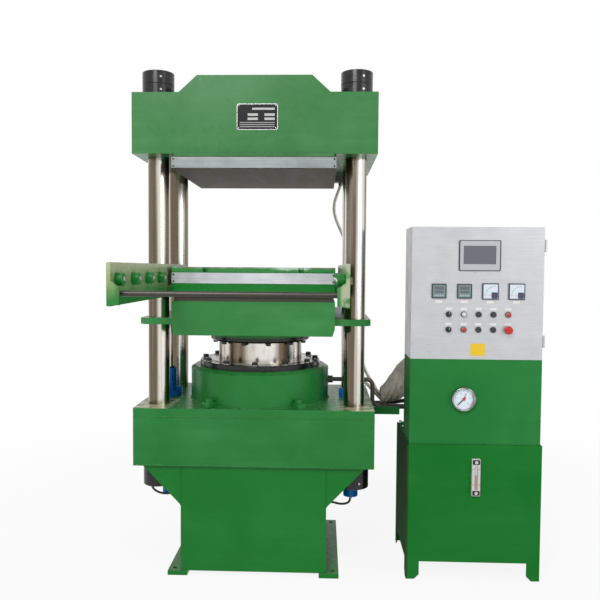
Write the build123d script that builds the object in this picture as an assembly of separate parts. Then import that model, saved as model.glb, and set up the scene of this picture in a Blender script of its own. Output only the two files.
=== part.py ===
from build123d import *
import math
import os

# Four-column rubber vulcanizing press with its control and hydraulic cabinet.
# Millimetres. The origin lies on the floor under the ram's axis,
# +X points to the cabinet, +Y to the back and +Z up.

os.makedirs("parts", exist_ok=True)

# Clearances, shared by every mating pair
overrun = 5.0            # how far a cutting body runs past the face that it cuts
seat_gap = 0.3           # between a moving face and the face it lies beside
running_gap = 0.06       # radial clearance of a shaft in its bearing
hole_gap = 0.25          # radial clearance of a fixed shaft in its hole

# Columns and their nuts
column_span_x = 1004.0
column_span_y = 478.0
column_d = 107.0
column_journal_d = 100.0
column_chamfer = 4.0
column_free = 1256.0     # between the two beams
nut_d = 160.0
nut_height = 63.0
nut_chamfer = 2.0
nuts_in_stack = 2
nut_lead_in = 3.0        # how far a column's end stays inside its upper nut

# Beams, welded boxes
beam_end = 99.0          # from a column's axis to the beam's end
beam_depth = 760.0
beam_plate = 40.0
lower_beam_bottom = 560.0
lower_beam_height = 290.0
upper_beam_height = 297.0
hump_rise = 81.0
hump_base_width = 738.0
hump_top_width = 560.0
weld_round = 3.0

# Pedestal with its gussets and foot plates
pedestal_width = 732.0
pedestal_depth = 716.0
pedestal_wall = 16.0
gusset_run = 195.0
gusset_drop = 203.0
gusset_plate = 20.0
foot_width = 100.0
foot_depth = 732.0
foot_thick = 22.0
foot_overhang = 65.0
anchor_hole_d = 22.0
anchor_spacing_x = 800.0
anchor_spacing_y = 654.0
access_width = 420.0     # opening in the back wall for the pipework
access_height = 220.0
access_sill = 200.0
access_round = 30.0

# Main cylinder, ram and gland
ram_d = 450.0
ram_length = 800.0
ram_chamfer = 6.0
bore_d = 462.0
cylinder_head_d = 746.0
cylinder_head_height = 180.0
cylinder_rim_run = 22.0
cylinder_rim_drop = 14.0
cylinder_barrel_d = 620.0
cylinder_barrel_length = 520.0
cylinder_floor = 70.0
cylinder_foot_round = 40.0
port_boss = 48.0
port_proud = 3.0
gland_d = 650.0
gland_thick = 28.0
gland_chamfer = 3.0
gland_spigot_d = 520.0
gland_spigot_depth = 60.0
gland_bolt_count = 12
gland_bolt_circle = 600.0
gland_bolt_head_d = 30.0
gland_bolt_head_height = 18.0
gland_bolt_d = 20.0
gland_bolt_grip = 40.0
gland_socket_width = 17.0
gland_socket_depth = 10.0
clamp_count = 4
clamp_angle = 34.0
clamp_length = 62.0
clamp_width = 46.0
clamp_height = 26.0
clamp_bolt_head = 36.0   # across flats
clamp_bolt_height = 18.0

# Hot plates and what lies between them
plate_side = 800.0
hot_plate_thick = 60.0
hot_plate_chamfer = 2.0
upper_board_thick = 16.0
board_inset = 10.0
lower_board_thick = 21.0
support_thick = 63.0
heater_count = 8
heater_pitch = 90.0
heater_bore_d = 20.0
heater_d = 18.0
heater_short = 12.0      # from a rod's end to the plate's side
strip_height = 52.0
strip_thick = 3.0
strip_screw_d = 8.0
strip_screw_inset = 9.0
strip_screw_head = 1.5
carrier_thick = 24.0
carrier_chamfer = 1.5
carrier_notch_width = 26.0
carrier_notch_depth = 45.0
carrier_notch_span = 468.0

# Bolster, the moving box under the lower hot plate, and its guide plates
ram_show = 107.0         # bare ram between the gland and its clamp ring, at rest
bolster_height = 168.0
bolster_foot_bevel = 12.0
bolster_foot_rise = 34.0
boss_d = 538.0
boss_height = 28.0
ring_d = 538.0
ring_thick = 25.0
ring_chamfer = 8.0
ring_bolt_count = 12
ring_bolt_circle = 492.0
ring_bolt_flats = 22.0
ring_bolt_height = 14.0
ear_end = 78.0           # from a column's axis to the ear's end
ear_depth = 656.0
ear_thick = 32.0
ear_chamfer = 28.0
ear_above_bolster_foot = 47.0
bush_wall = 10.5

# Side arms with rollers, in front of the press
arm_to_column = 11.5
arm_plate = 15.0
arm_height = 159.0
arm_above_plate = 37.0
arm_tip_y = -1280.0
arm_rear_y = 60.0
arm_return_width = 30.0
arm_return_height = 69.0
arm_return_slope = 22.0
arm_corner = 4.0
spacer_length = 70.0
spacer_height = 52.0
spacer_places = (-340.0, -120.0, 20.0)
spacer_bolt_flats = 24.0
spacer_bolt_height = 11.0
roller_count = 4
roller_first_y = -1212.0
roller_pitch = 215.0
roller_d = 50.0
roller_length = 30.0
roller_round = 2.0
roller_pin_d = 16.0
roller_pin_head_d = 26.0
roller_pin_head = 3.0
roller_recess_d = 32.0
tie_bar_d = 22.0
tie_bar_y = -1236.0
tie_bar_below_arm_top = 114.0
tie_nut_flats = 32.0
tie_nut_length = 14.0

# Side lift cylinders
lift_barrel_d = 80.0
lift_bore_d = 64.0
lift_barrel_bottom = 303.0
lift_barrel_top = 1000.0
lift_cap = 30.0
lift_rod_d = 38.0
lift_rod_bottom = 420.0
lift_piston = 40.0
lift_flange_width = 124.0
lift_flange_thick = 24.0
lift_port_width = 38.0
lift_port_depth = 30.0
lift_port_height = 46.0

# Cabinet: oil tank, shell and control box, one above the other
cabinet_gap = 174.0      # from the beam's end to the shell's left side
cabinet_width = 646.0
cabinet_front = -340.0   # y of the shell's front
sheet = 2.0
tank_proud = 8.0         # how far the tank stands out round the shell
tank_depth = 480.0
tank_floor = 90.0
tank_top = 682.0
tank_plate = 4.0
leg_width = 65.0
leg_chamfer = 24.0
lid_thick = 10.0
lid_inset = 22.0
lid_depth = 218.0
shell_depth = 230.0
shell_height = 426.0
box_height = 651.0
box_flange = 20.0
door_thick = 22.0
door_gap = 1.5
hinge_d = 12.0
hinge_height = 60.0
hinge_inset = 90.0
hinge_pin_d = 6.0
hinge_leaf = 3.0
hinge_side_gap = 2.5
lock_d = 22.0
lock_face = 3.0
lock_inset = 26.0
mounting_plate_thick = 3.0
mounting_plate_inset = 40.0
mounting_plate_back = 14.0
rail_depth = 8.0
rail_half = 17.5
contactor_rows = 3
contactor_count = 6
contactor_half = 27.0
contactor_half_h = 42.0
contactor_depth = 78.0

# Panel devices, placed from the door's middle line and its foot
screen_x = 9.0
screen_z = 511.0
screen_width = 204.0
screen_height = 150.0
screen_bezel = 6.0
screen_glass_width = 157.0
screen_glass_height = 88.0
screen_glass_sink = 1.5
screen_depth = 34.0
screen_corner = 6.0
meter_z = 336.0
controller_places = (-187.0, -63.0)
meter_places = (63.0, 191.0)
controller_side = 72.0
meter_side = 80.0
meter_face = 8.0
meter_window = 5.0
meter_window_sink = 2.0
meter_depth = 60.0
meter_body_inset = 4.0
button_across = (-138.0, -64.0, 8.0, 80.0, 152.0)
button_heights = (222.0, 147.0)
bezel_d = 29.0
bezel_rise = 9.0
bezel_bore = 23.6
bezel_edge = 1.0
bezel_floor = 1.5
neck_bore = 18.0
bezel_body_d = 22.0
bezel_body_length = 40.0
push_rise = 11.0
push_stem = 16.0
push_travel = 4.0
push_round = 1.0
lamp_rise = 14.0
knob_length = 24.0
knob_width = 7.0
knob_base = 10.0
knob_reach = 24.0
mushroom_d = 40.0
mushroom_rise = 28.0
mushroom_thick = 13.0
mushroom_round = 5.0
stop_travel = 5.0

# Pressure gauge and level gauge
gauge_x = -59.0          # from the cabinet's middle line
gauge_z = 912.0
gauge_d = 118.0
gauge_rise = 24.0
gauge_rim = 7.0
gauge_rim_height = 4.0
gauge_dial_sink = 12.0
gauge_back_d = 60.0
gauge_back_length = 32.0
pointer_length = 42.0
pointer_tail = 14.0
pointer_width = 4.0
pointer_thick = 1.0
pointer_hub_d = 12.0
pointer_hub_height = 4.0
pointer_pin_d = 4.0
level_x = 7.0
level_low = 430.0
level_width = 42.0
level_height = 186.0
level_rise = 16.0
level_slot_width = 14.0
level_slot_height = 122.0
level_slot_depth = 9.0
level_round = 4.0
level_bolt_d = 16.0

# Pump motor and valve block, on the tank behind the shell
motor_to_side = 191.0    # from its axis to the shell's right side
motor_y = 20.0
motor_d = 190.0
motor_height = 300.0
motor_flange_d = 210.0
motor_flange = 14.0
motor_cowl_d = 196.0
motor_cowl_height = 60.0
motor_rib_count = 16
motor_rib = 9.0
motor_rib_thick = 4.0
pump_d = 118.0
pump_drop = 190.0
strainer_d = 80.0
strainer_length = 90.0
motor_box_width = 90.0
motor_box_depth = 40.0
motor_box_height = 80.0
valve_to_side = 125.0    # from its middle to the shell's left side
valve_y = 20.0
valve_width = 150.0
valve_depth = 110.0
valve_height = 150.0
solenoid_d = 46.0
solenoid_length = 60.0
solenoid_pitch = 70.0
spool_height = 54.0
breather_to_side = 51.0
breather_d = 60.0
breather_height = 70.0
breather_neck_d = 42.0
breather_drop = 60.0

# Trough, hoses and wiring between the press and the cabinet
trough_y0 = 14.0
trough_y1 = 194.0
trough_bottom = 752.0
trough_height = 40.0
trough_sheet = 3.0
bend_share = 0.45        # of the shorter of a bend's two runs
pipe_bend_share = 0.49
sleeve_y = 104.0
sleeve_wall = 5.0
sleeve_start = 67.0      # from the beam's end to the wrap's mouth
sleeve_foot = 792.3
sleeve_along = (0.0, 40.0, 92.0, 144.0)
sleeve_half_width = (50.0, 56.0, 62.0, 64.0)
sleeve_half_height = (42.0, 60.0, 96.0, 112.0)
sleeve_lift = (0.0, 9.7, 23.7, 45.7)   # of the wrap's foot over its start
hose_d = 24.0
hose_fitting_d = 32.0
hose_fitting_length = 30.0
trough_hose_routes = (
    ((601.0, 42.0, 778.0), (658.0, 42.0, 778.0), (742.0, 36.0, 791.0), (825.0, 36.0, 791.0)),
    (
        (601.0, 162.0, 778.0), (660.0, 162.0, 778.0), (745.0, 170.0, 790.0), (835.0, 182.0, 800.0),
        (905.0, 170.0, 800.0), (930.0, 125.0, 800.0), (930.0, 75.0, 800.0),
    ),
)
pipe_d = 24.0
pipe_bend = 34.0
pipe_nut_d = 40.0
pipe_nut_length = 24.0
pipe_port_y = 110.0
pipe_port_z = 928.0
pipe_side_gap = 23.0     # from the beam's end to the pipe's axis
pipe_low_z = 780.0
pipe_end_y = 75.0
pipe_to_valve_middle = 35.0
lift_hose_d = 12.0
lift_fitting_d = 22.0
lift_fitting_length = 16.0
lift_hose_routes = (
    (
        (502.0, 0.0, 303.0), (502.0, 0.0, 271.0), (480.0, 0.0, 253.0), (442.0, 0.0, 251.0),
        (404.0, 0.0, 262.0), (366.0, 0.0, 262.0),
    ),
    (
        (-552.0, 0.0, 420.0), (-584.0, 0.0, 420.0), (-602.0, -22.0, 386.0), (-590.0, -50.0, 334.0),
        (-532.0, -60.0, 310.0), (-470.0, -58.0, 316.0), (-410.0, -54.0, 336.0), (-366.0, -54.0, 336.0),
    ),
)
conduit_d = 20.0
upper_conduit_routes = (
    (
        (440.0, 385.0, 2048.0), (440.0, 385.0, 1978.0), (426.0, 418.0, 1866.0), (434.0, 442.0, 1722.0),
        (480.0, 428.0, 1540.0), (532.0, 408.0, 1338.0), (538.0, 404.0, 1130.0), (552.0, 396.0, 968.0),
        (588.0, 345.0, 882.0), (620.0, 245.0, 862.0), (645.0, 165.0, 842.0), (671.0, 92.0, 824.0),
    ),
    (
        (512.0, 375.0, 2083.0), (556.0, 375.0, 2083.0), (586.0, 402.0, 2012.0), (580.0, 428.0, 1890.0),
        (566.0, 432.0, 1742.0), (572.0, 424.0, 1562.0), (580.0, 430.0, 1360.0), (570.0, 420.0, 1152.0),
        (580.0, 390.0, 984.0), (612.0, 320.0, 914.0), (638.0, 215.0, 886.0), (650.0, 150.0, 862.0),
        (671.0, 104.0, 846.0),
    ),
)
lower_conduit_route = (
    (418.0, 365.0, 1240.0), (474.0, 365.0, 1240.0), (526.0, 368.0, 1198.0), (538.0, 372.0, 1112.0),
    (530.0, 370.0, 1012.0), (508.0, 365.0, 918.0), (508.0, 365.0, 850.0),
)
terminal_box_length = 92.0
terminal_box_depth = 50.0
terminal_box_height = 42.0
junction_length = 36.0
junction_depth = 120.0
junction_height = 48.0
junction_y = -170.0
gland_nut_d = 26.0
gland_nut_length = 18.0
upper_gland_along = 40.0   # from the terminal box's end to its lower gland
upper_gland_show = 14.0
side_gland_length = 20.0

# Levels and places worked out from the sizes above
column_x = 0.5 * column_span_x
column_y = 0.5 * column_span_y
column_places = [(sx * column_x, sy * column_y) for sx in (-1, 1) for sy in (-1, 1)]
lift_x = column_x
beam_width = column_span_x + 2 * beam_end
lower_beam_top = lower_beam_bottom + lower_beam_height
upper_beam_bottom = lower_beam_top + column_free
upper_beam_shoulder = upper_beam_bottom + upper_beam_height
upper_plate_under = upper_beam_bottom - upper_board_thick - hot_plate_thick
cylinder_top = lower_beam_top + cylinder_head_height
gland_top = cylinder_top + gland_thick
cylinder_bottom = lower_beam_top - cylinder_barrel_length
ring_bottom = gland_top + ram_show
boss_bottom = ring_bottom + ring_thick
bolster_bottom = boss_bottom + boss_height
bolster_top = bolster_bottom + bolster_height
board_top = bolster_top + lower_board_thick
support_top = board_top + support_thick
lower_plate_top = support_top + hot_plate_thick
ear_bottom = bolster_bottom + ear_above_bolster_foot
ear_top = ear_bottom + ear_thick
port_x = 0.5 * cylinder_head_d + port_proud
arm_top = lower_plate_top + arm_above_plate
arm_bottom = arm_top - arm_height
arm_outer_x = column_x - 0.5 * column_d - arm_to_column
arm_inner_x = arm_outer_x - arm_plate
cabinet_left = 0.5 * beam_width + cabinet_gap
cabinet_right = cabinet_left + cabinet_width
cabinet_middle = 0.5 * (cabinet_left + cabinet_right)
motor_x = cabinet_right - motor_to_side
breather_x = cabinet_right - breather_to_side
valve_x = cabinet_left + valve_to_side
shell_top = tank_top + shell_height
box_top = shell_top + box_height
tank_left = cabinet_left - tank_proud
tank_right = cabinet_right + tank_proud
tank_front = cabinet_front - tank_proud
lid_top = tank_top + lid_thick
gauge_center_x = cabinet_middle + gauge_x
dial_y = cabinet_front - gauge_rise + gauge_dial_sink
pointer_y = dial_y - pointer_hub_height
pointer_back = pointer_y - 0.5 * pointer_hub_height
hinge_x = cabinet_right + hinge_side_gap + 0.5 * hinge_d
hinge_y = cabinet_front + 0.5 * door_thick


def block(x0, x1, y0, y1, z0, z1):
    """A box between two corners."""
    middle = Pos(0.5 * (x0 + x1), 0.5 * (y0 + y1), 0.5 * (z0 + z1))
    return middle * Box(abs(x1 - x0), abs(y1 - y0), abs(z1 - z0))


def post(x, y, z0, z1, d):
    """An upright cylinder."""
    return Pos(x, y, 0.5 * (z0 + z1)) * Cylinder(0.5 * d, z1 - z0)


def bar_x(x0, x1, y, z, d):
    """A cylinder along X."""
    return Pos(0.5 * (x0 + x1), y, z) * Rot(0, 90, 0) * Cylinder(0.5 * d, abs(x1 - x0))


def bar_y(x, y0, y1, z, d):
    """A cylinder along Y."""
    return Pos(x, 0.5 * (y0 + y1), z) * Rot(90, 0, 0) * Cylinder(0.5 * d, abs(y1 - y0))


def hexagon(flats, height):
    """A hexagonal prism standing on the XY plane."""
    return extrude(RegularPolygon(0.5 * flats, 6, major_radius=False), height)


def turned(*outline):
    """A body turned about Z from an outline of (radius, height) points."""
    face = make_face(Plane.XZ * Polyline(*outline, close=True))
    return revolve(face, Axis.Z)


def front_profile(y0, y1, *outline):
    """A plate cut to an (x, z) outline and reaching from y0 to y1."""
    face = make_face(Plane((0, y1, 0), x_dir=(1, 0, 0), z_dir=(0, -1, 0)) * Polyline(*outline, close=True))
    return extrude(face, y1 - y0, dir=(0, -1, 0))


def side_profile(x0, x1, *outline):
    """A plate cut to a (y, z) outline and reaching from x0 to x1."""
    face = make_face(Plane((x0, 0, 0), x_dir=(0, 1, 0), z_dir=(1, 0, 0)) * Polyline(*outline, close=True))
    return extrude(face, x1 - x0, dir=(1, 0, 0))


def flat_profile(z0, z1, *outline):
    """A plate cut to an (x, y) outline and reaching from z0 to z1."""
    face = make_face(Plane.XY.offset(z0) * Polyline(*outline, close=True))
    return extrude(face, z1 - z0, dir=(0, 0, 1))


def corner_radii(route):
    """The bend at each corner of a hose, as large as its two runs allow."""
    points = [Vector(*point) for point in route]
    radii = []
    for before, corner, after in zip(points, points[1:], points[2:]):
        turn = math.radians((corner - before).get_angle(after - corner))
        run = min((corner - before).length, (after - corner).length)
        radii.append(bend_share * run / math.tan(0.5 * turn))
    return radii


def tube(route, radii, d):
    """A hose or pipe along straight runs that tangent arcs join."""
    path = FilletPolyline(*route, radius=radii)
    start = Plane(route[0], z_dir=Vector(*route[1]) - Vector(*route[0]))
    hose = sweep(start * Circle(0.5 * d), path=path)
    off = hose.volume / (0.25 * math.pi * d * d * path.length) - 1
    bends = [round(r) for r in radii]
    print(f"tube {d:.0f} mm, {path.length:.0f} long, volume off by {off:.5f}, radii", bends)
    return hose


def save(node, *pieces):
    """Write one node, as one solid or as a group of separate solids."""
    solids = [solid for piece in pieces for solid in piece.solids()]
    shape = solids[0] if len(solids) == 1 else Compound(children=solids)
    shape.label = node
    export_step(shape, "parts/" + node + ".step")


# Pedestal: four walls, two gusset plates at the front and two at the back, and
# the foot plates that the anchor bolts go through.
def pedestal():
    half_w = 0.5 * pedestal_width
    half_d = 0.5 * pedestal_depth
    walls = block(-half_w, half_w, -half_d, half_d, foot_thick, lower_beam_bottom)
    inner_w = half_w - pedestal_wall
    inner_d = half_d - pedestal_wall
    walls -= block(-inner_w, inner_w, -inner_d, inner_d, foot_thick - overrun, lower_beam_bottom + overrun)
    window_z = foot_thick + access_sill
    window = Box(access_width, pedestal_wall + 2 * overrun, access_height)
    window = fillet(window.edges().filter_by(Axis.Y), access_round)
    walls -= Pos(0, half_d - 0.5 * pedestal_wall, window_z + 0.5 * access_height) * window
    whole = walls
    for sx in (-1, 1):
        for y0, y1 in ((-half_d, -half_d + gusset_plate), (half_d - gusset_plate, half_d)):
            whole += front_profile(
                y0, y1,
                (sx * half_w, lower_beam_bottom),
                (sx * (half_w + gusset_run), lower_beam_bottom),
                (sx * half_w, lower_beam_bottom - gusset_drop),
            )
        outer = half_w + foot_overhang
        inner = outer - foot_width
        plate = block(sx * inner, sx * outer, -0.5 * foot_depth, 0.5 * foot_depth, 0, foot_thick)
        for sy in (-1, 1):
            x, y = sx * 0.5 * anchor_spacing_x, sy * 0.5 * anchor_spacing_y
            plate -= post(x, y, -overrun, foot_thick + overrun, anchor_hole_d)
        whole += plate
    return whole


def lower_beam():
    half_w, half_d = 0.5 * beam_width, 0.5 * beam_depth
    beam = block(-half_w, half_w, -half_d, half_d, lower_beam_bottom, lower_beam_top)
    beam = fillet(beam.edges().filter_by(Axis.Z), weld_round)
    z0, z1 = lower_beam_bottom - overrun, lower_beam_top + overrun
    beam -= post(0, 0, z0, z1, cylinder_barrel_d + 2 * hole_gap)
    for x, y in column_places:
        beam -= post(x, y, z0, z1, column_journal_d + 2 * hole_gap)
    for sx in (-1, 1):
        beam -= post(sx * lift_x, 0, z0, z1, lift_barrel_d + 2 * hole_gap)
    return beam


def upper_beam():
    half_w, half_d = 0.5 * beam_width, 0.5 * beam_depth
    top = upper_beam_shoulder + hump_rise
    beam = front_profile(
        -half_d, half_d,
        (-half_w, upper_beam_bottom), (half_w, upper_beam_bottom),
        (half_w, upper_beam_shoulder), (0.5 * hump_base_width, upper_beam_shoulder),
        (0.5 * hump_top_width, top), (-0.5 * hump_top_width, top),
        (-0.5 * hump_base_width, upper_beam_shoulder), (-half_w, upper_beam_shoulder),
    )
    beam = fillet(beam.edges().filter_by(Axis.Z), weld_round)
    hollow_w = 0.5 * hump_base_width - beam_plate
    hollow = block(
        -hollow_w, hollow_w, -half_d + beam_plate, half_d - beam_plate,
        upper_beam_bottom + beam_plate, upper_beam_shoulder - beam_plate,
    )
    beam -= hollow
    for x, y in column_places:
        beam -= post(x, y, upper_beam_bottom - overrun, top + overrun, column_journal_d + 2 * hole_gap)
    return beam


def columns():
    stack = nuts_in_stack * nut_height - nut_lead_in
    low, high = lower_beam_bottom - stack, upper_beam_shoulder + stack
    journal, shaft = 0.5 * column_journal_d, 0.5 * column_d
    one = turned(
        (0, low), (journal - column_chamfer, low), (journal, low + column_chamfer),
        (journal, lower_beam_top), (shaft, lower_beam_top),
        (shaft, upper_beam_bottom), (journal, upper_beam_bottom),
        (journal, high - column_chamfer), (journal - column_chamfer, high), (0, high),
    )
    return [Pos(x, y, 0) * one for x, y in column_places]


def column_nuts():
    inner, outer = 0.5 * column_journal_d + hole_gap, 0.5 * nut_d
    one = turned(
        (inner, 0), (outer - nut_chamfer, 0), (outer, nut_chamfer),
        (outer, nut_height - nut_chamfer), (outer - nut_chamfer, nut_height), (inner, nut_height),
    )
    feet = [upper_beam_shoulder + i * nut_height for i in range(nuts_in_stack)]
    feet += [lower_beam_bottom - (i + 1) * nut_height for i in range(nuts_in_stack)]
    return [Pos(x, y, z) * one for x, y in column_places for z in feet]


# Main cylinder: a thick-walled cup whose head stands on the lower beam, held
# there by clamps, with the gland ring screwed on top.
def main_cylinder():
    head, barrel, bore = 0.5 * cylinder_head_d, 0.5 * cylinder_barrel_d, 0.5 * bore_d
    spigot = 0.5 * gland_spigot_d + hole_gap
    cup_floor = cylinder_bottom + cylinder_floor
    cup = turned(
        (0, cylinder_bottom), (barrel - cylinder_foot_round, cylinder_bottom),
        (barrel, cylinder_bottom + cylinder_foot_round), (barrel, lower_beam_top),
        (head, lower_beam_top), (head, cylinder_top - cylinder_rim_drop),
        (head - cylinder_rim_run, cylinder_top), (spigot, cylinder_top),
        (spigot, cylinder_top - gland_spigot_depth), (bore, cylinder_top - gland_spigot_depth),
        (bore, cup_floor), (0, cup_floor),
    )
    half_boss = 0.5 * port_boss
    cup += block(
        port_x - port_boss, port_x, pipe_port_y - half_boss, pipe_port_y + half_boss,
        pipe_port_z - half_boss, pipe_port_z + half_boss,
    )
    cup -= gland_bolt_holes(cylinder_top - gland_bolt_grip - overrun, cylinder_top + overrun)
    pieces = [cup]
    for i in range(clamp_count):
        side = 1 if i % 2 else -1
        turn = (90 - clamp_angle) * side + (180 if i > 1 else 0)
        pieces.append(Rot(0, 0, turn) * cylinder_clamp())
    return pieces


def cylinder_clamp():
    """A clamp lug against the head's foot, with its bolt, on the +X side."""
    start = 0.5 * cylinder_head_d + seat_gap
    lug = block(start, start + clamp_length, -0.5 * clamp_width, 0.5 * clamp_width, 0, clamp_height)
    lug = chamfer(lug.edges().filter_by(Axis.Y).group_by(Axis.Z)[-1], 0.3 * clamp_height)
    bolt = Pos(start + 0.5 * clamp_length, 0, clamp_height) * hexagon(clamp_bolt_head, clamp_bolt_height)
    return Pos(0, 0, lower_beam_top) * (lug + bolt)


def gland_bolt_holes(z0, z1):
    holes = []
    for i in range(gland_bolt_count):
        angle = math.radians(-90 + i * 360 / gland_bolt_count)
        x = 0.5 * gland_bolt_circle * math.cos(angle)
        y = 0.5 * gland_bolt_circle * math.sin(angle)
        holes.append(post(x, y, z0, z1, gland_bolt_d + 2 * hole_gap))
    return holes


def gland_ring():
    outer, ram, spigot = 0.5 * gland_d, 0.5 * ram_d + running_gap, 0.5 * gland_spigot_d
    ring = turned(
        (ram, cylinder_top - gland_spigot_depth), (spigot, cylinder_top - gland_spigot_depth),
        (spigot, cylinder_top), (outer, cylinder_top),
        (outer, gland_top - gland_chamfer), (outer - gland_chamfer, gland_top), (ram, gland_top),
    )
    return ring - gland_bolt_holes(cylinder_top - overrun, gland_top + overrun)


def gland_bolts():
    shank = post(0, 0, cylinder_top - gland_bolt_grip, gland_top, gland_bolt_d)
    head = post(0, 0, gland_top, gland_top + gland_bolt_head_height, gland_bolt_head_d)
    socket = Pos(0, 0, gland_top + gland_bolt_head_height - gland_socket_depth)
    head -= socket * hexagon(gland_socket_width, gland_socket_depth + overrun)
    bolt = shank + head
    radius = 0.5 * gland_bolt_circle
    angles = [-90 + i * 360 / gland_bolt_count for i in range(gland_bolt_count)]
    return [Rot(0, 0, angle) * Pos(radius, 0, 0) * bolt for angle in angles]


# Hot plates: bored from end to end for the heater rods, the bores covered by a
# strip along the front and the back edge.
def hot_plate(under):
    half = 0.5 * plate_side
    plate = block(-half, half, -half, half, under, under + hot_plate_thick)
    plate = chamfer(plate.edges().filter_by(Axis.Z), hot_plate_chamfer)
    for x in heater_places():
        plate -= bar_y(x, -half - overrun, half + overrun, under + 0.5 * hot_plate_thick, heater_bore_d)
    return plate


def heater_places():
    return [(i - 0.5 * (heater_count - 1)) * heater_pitch for i in range(heater_count)]


def heaters(under):
    reach = 0.5 * plate_side - heater_short
    return [bar_y(x, -reach, reach, under + 0.5 * hot_plate_thick, heater_d) for x in heater_places()]


def cover_strips(under):
    half = 0.5 * plate_side
    z0 = under + 0.5 * (hot_plate_thick - strip_height)
    pieces = []
    for sy in (-1, 1):
        inner, outer = sy * half, sy * (half + strip_thick)
        strip = block(-half, half, inner, outer, z0, z0 + strip_height)
        for sx in (-1, 1):
            for z in (z0 + strip_screw_inset, z0 + strip_height - strip_screw_inset):
                x = sx * (half - strip_screw_inset)
                strip += bar_y(x, inner, outer + sy * strip_screw_head, z, strip_screw_d)
        pieces.append(strip)
    return pieces


def insulation_board(z0, z1):
    half = 0.5 * plate_side - board_inset
    return block(-half, half, -half, half, z0, z1)


def support_plate():
    half = 0.5 * plate_side
    plate = block(-half, half, -half, half, board_top, support_top)
    return fillet(plate.edges().filter_by(Axis.Z), weld_round)


# Mould plate: it lies on the lower hot plate and is drawn out over the rollers
# of the side arms, gripped at the two notches in its front edge.
def carrier_plate():
    half = 0.5 * plate_side
    plate = block(-half, half, -half, half, lower_plate_top, lower_plate_top + carrier_thick)
    plate = chamfer(plate.edges().filter_by(Axis.Z), carrier_chamfer)
    for sx in (-1, 1):
        notch = SlotCenterPoint((0, 0), (0, carrier_notch_depth), carrier_notch_width)
        cutter = extrude(notch, carrier_thick + 2 * overrun)
        cutter = Pos(sx * 0.5 * carrier_notch_span, -half - 0.5 * carrier_notch_width, 0) * cutter
        plate -= Pos(0, 0, lower_plate_top - overrun) * cutter
    return plate


# Bolster: a welded box with bevelled side feet, the round boss that the ram
# pushes on, and a guide plate along each side.
def bolster():
    half = 0.5 * plate_side
    outline = (
        (-half + bolster_foot_bevel, bolster_bottom), (half - bolster_foot_bevel, bolster_bottom),
        (half, bolster_bottom + bolster_foot_rise), (half, bolster_top),
        (-half, bolster_top), (-half, bolster_bottom + bolster_foot_rise),
    )
    body = front_profile(-half, half, *outline)
    body = fillet(body.edges().filter_by(Axis.Z), weld_round)
    boss = post(0, 0, boss_bottom, bolster_bottom, boss_d)
    boss -= post(0, 0, boss_bottom - overrun, bolster_bottom, ram_d + 2 * hole_gap)
    body += boss
    for sx in (-1, 1):
        inner, outer = sx * half, sx * (column_x + ear_end)
        ear = block(inner, outer, -0.5 * ear_depth, 0.5 * ear_depth, ear_bottom, ear_top)
        corners = ear.edges().filter_by(Axis.Z).filter_by(lambda e: abs(e.center().X) > half + seat_gap)
        ear = chamfer(corners, ear_chamfer)
        for sy in (-1, 1):
            hole_d = column_d + 2 * running_gap + 2 * bush_wall
            ear -= post(sx * column_x, sy * column_y, ear_bottom - overrun, ear_top + overrun, hole_d)
        body += ear
    return body


def guide_bushes():
    shaft_d = column_d + 2 * running_gap
    bush = post(0, 0, ear_bottom, ear_top, shaft_d + 2 * bush_wall)
    bush -= post(0, 0, ear_bottom - overrun, ear_top + overrun, shaft_d)
    return [Pos(x, y, 0) * bush for x, y in column_places]


def ram():
    radius = 0.5 * ram_d
    foot = bolster_bottom - ram_length
    return turned(
        (0, foot), (radius - ram_chamfer, foot), (radius, foot + ram_chamfer),
        (radius, bolster_bottom), (0, bolster_bottom),
    )


# Clamp ring: holds the ram's head to the boss, its bolts put in from below.
def clamp_ring():
    inner, outer = 0.5 * ram_d + hole_gap, 0.5 * ring_d
    ring = turned(
        (inner, ring_bottom), (outer - ring_chamfer, ring_bottom),
        (outer, ring_bottom + ring_chamfer), (outer, boss_bottom), (inner, boss_bottom),
    )
    head = Pos(0.5 * ring_bolt_circle, 0, ring_bottom - ring_bolt_height)
    head *= Rot(0, 0, 30) * hexagon(ring_bolt_flats, ring_bolt_height)
    return ring + [Rot(0, 0, (i + 0.5) * 360 / ring_bolt_count) * head for i in range(ring_bolt_count)]


# Side arms: plates bolted to the support plate through spacers. They carry the
# rollers on pins in front of the press and end in a folded-in return.
def side_arm(side):
    arm = side_profile(
        arm_inner_x, arm_outer_x,
        (arm_tip_y, arm_bottom), (arm_rear_y, arm_bottom), (arm_rear_y, arm_top), (arm_tip_y, arm_top),
    )
    arm = chamfer(arm.edges().filter_by(Axis.X), arm_corner)
    return_top = arm_bottom + arm_return_height
    arm += front_profile(
        arm_tip_y, arm_tip_y + arm_plate,
        (arm_inner_x, arm_bottom + arm_corner), (arm_inner_x - arm_return_width, arm_bottom + arm_corner),
        (arm_inner_x - arm_return_width, return_top), (arm_inner_x, return_top + arm_return_slope),
    )
    spacer_z = 0.5 * (board_top + support_top)
    for y in spacer_places:
        arm += block(
            arm_inner_x, 0.5 * plate_side, y - 0.5 * spacer_length, y + 0.5 * spacer_length,
            spacer_z - 0.5 * spacer_height, spacer_z + 0.5 * spacer_height,
        )
        arm += Pos(arm_outer_x, y, spacer_z) * Rot(0, 90, 0) * hexagon(spacer_bolt_flats, spacer_bolt_height)
    for y in roller_places():
        head_start = arm_inner_x - roller_length + roller_pin_head - seat_gap
        arm += bar_x(arm_inner_x, head_start, y, roller_z(), roller_pin_d)
        arm += bar_x(head_start, head_start - roller_pin_head, y, roller_z(), roller_pin_head_d)
        arm += bar_x(arm_outer_x, arm_outer_x + spacer_bolt_height, y, roller_z(), roller_pin_head_d)
    return arm if side > 0 else mirror(arm, Plane.YZ)


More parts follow.
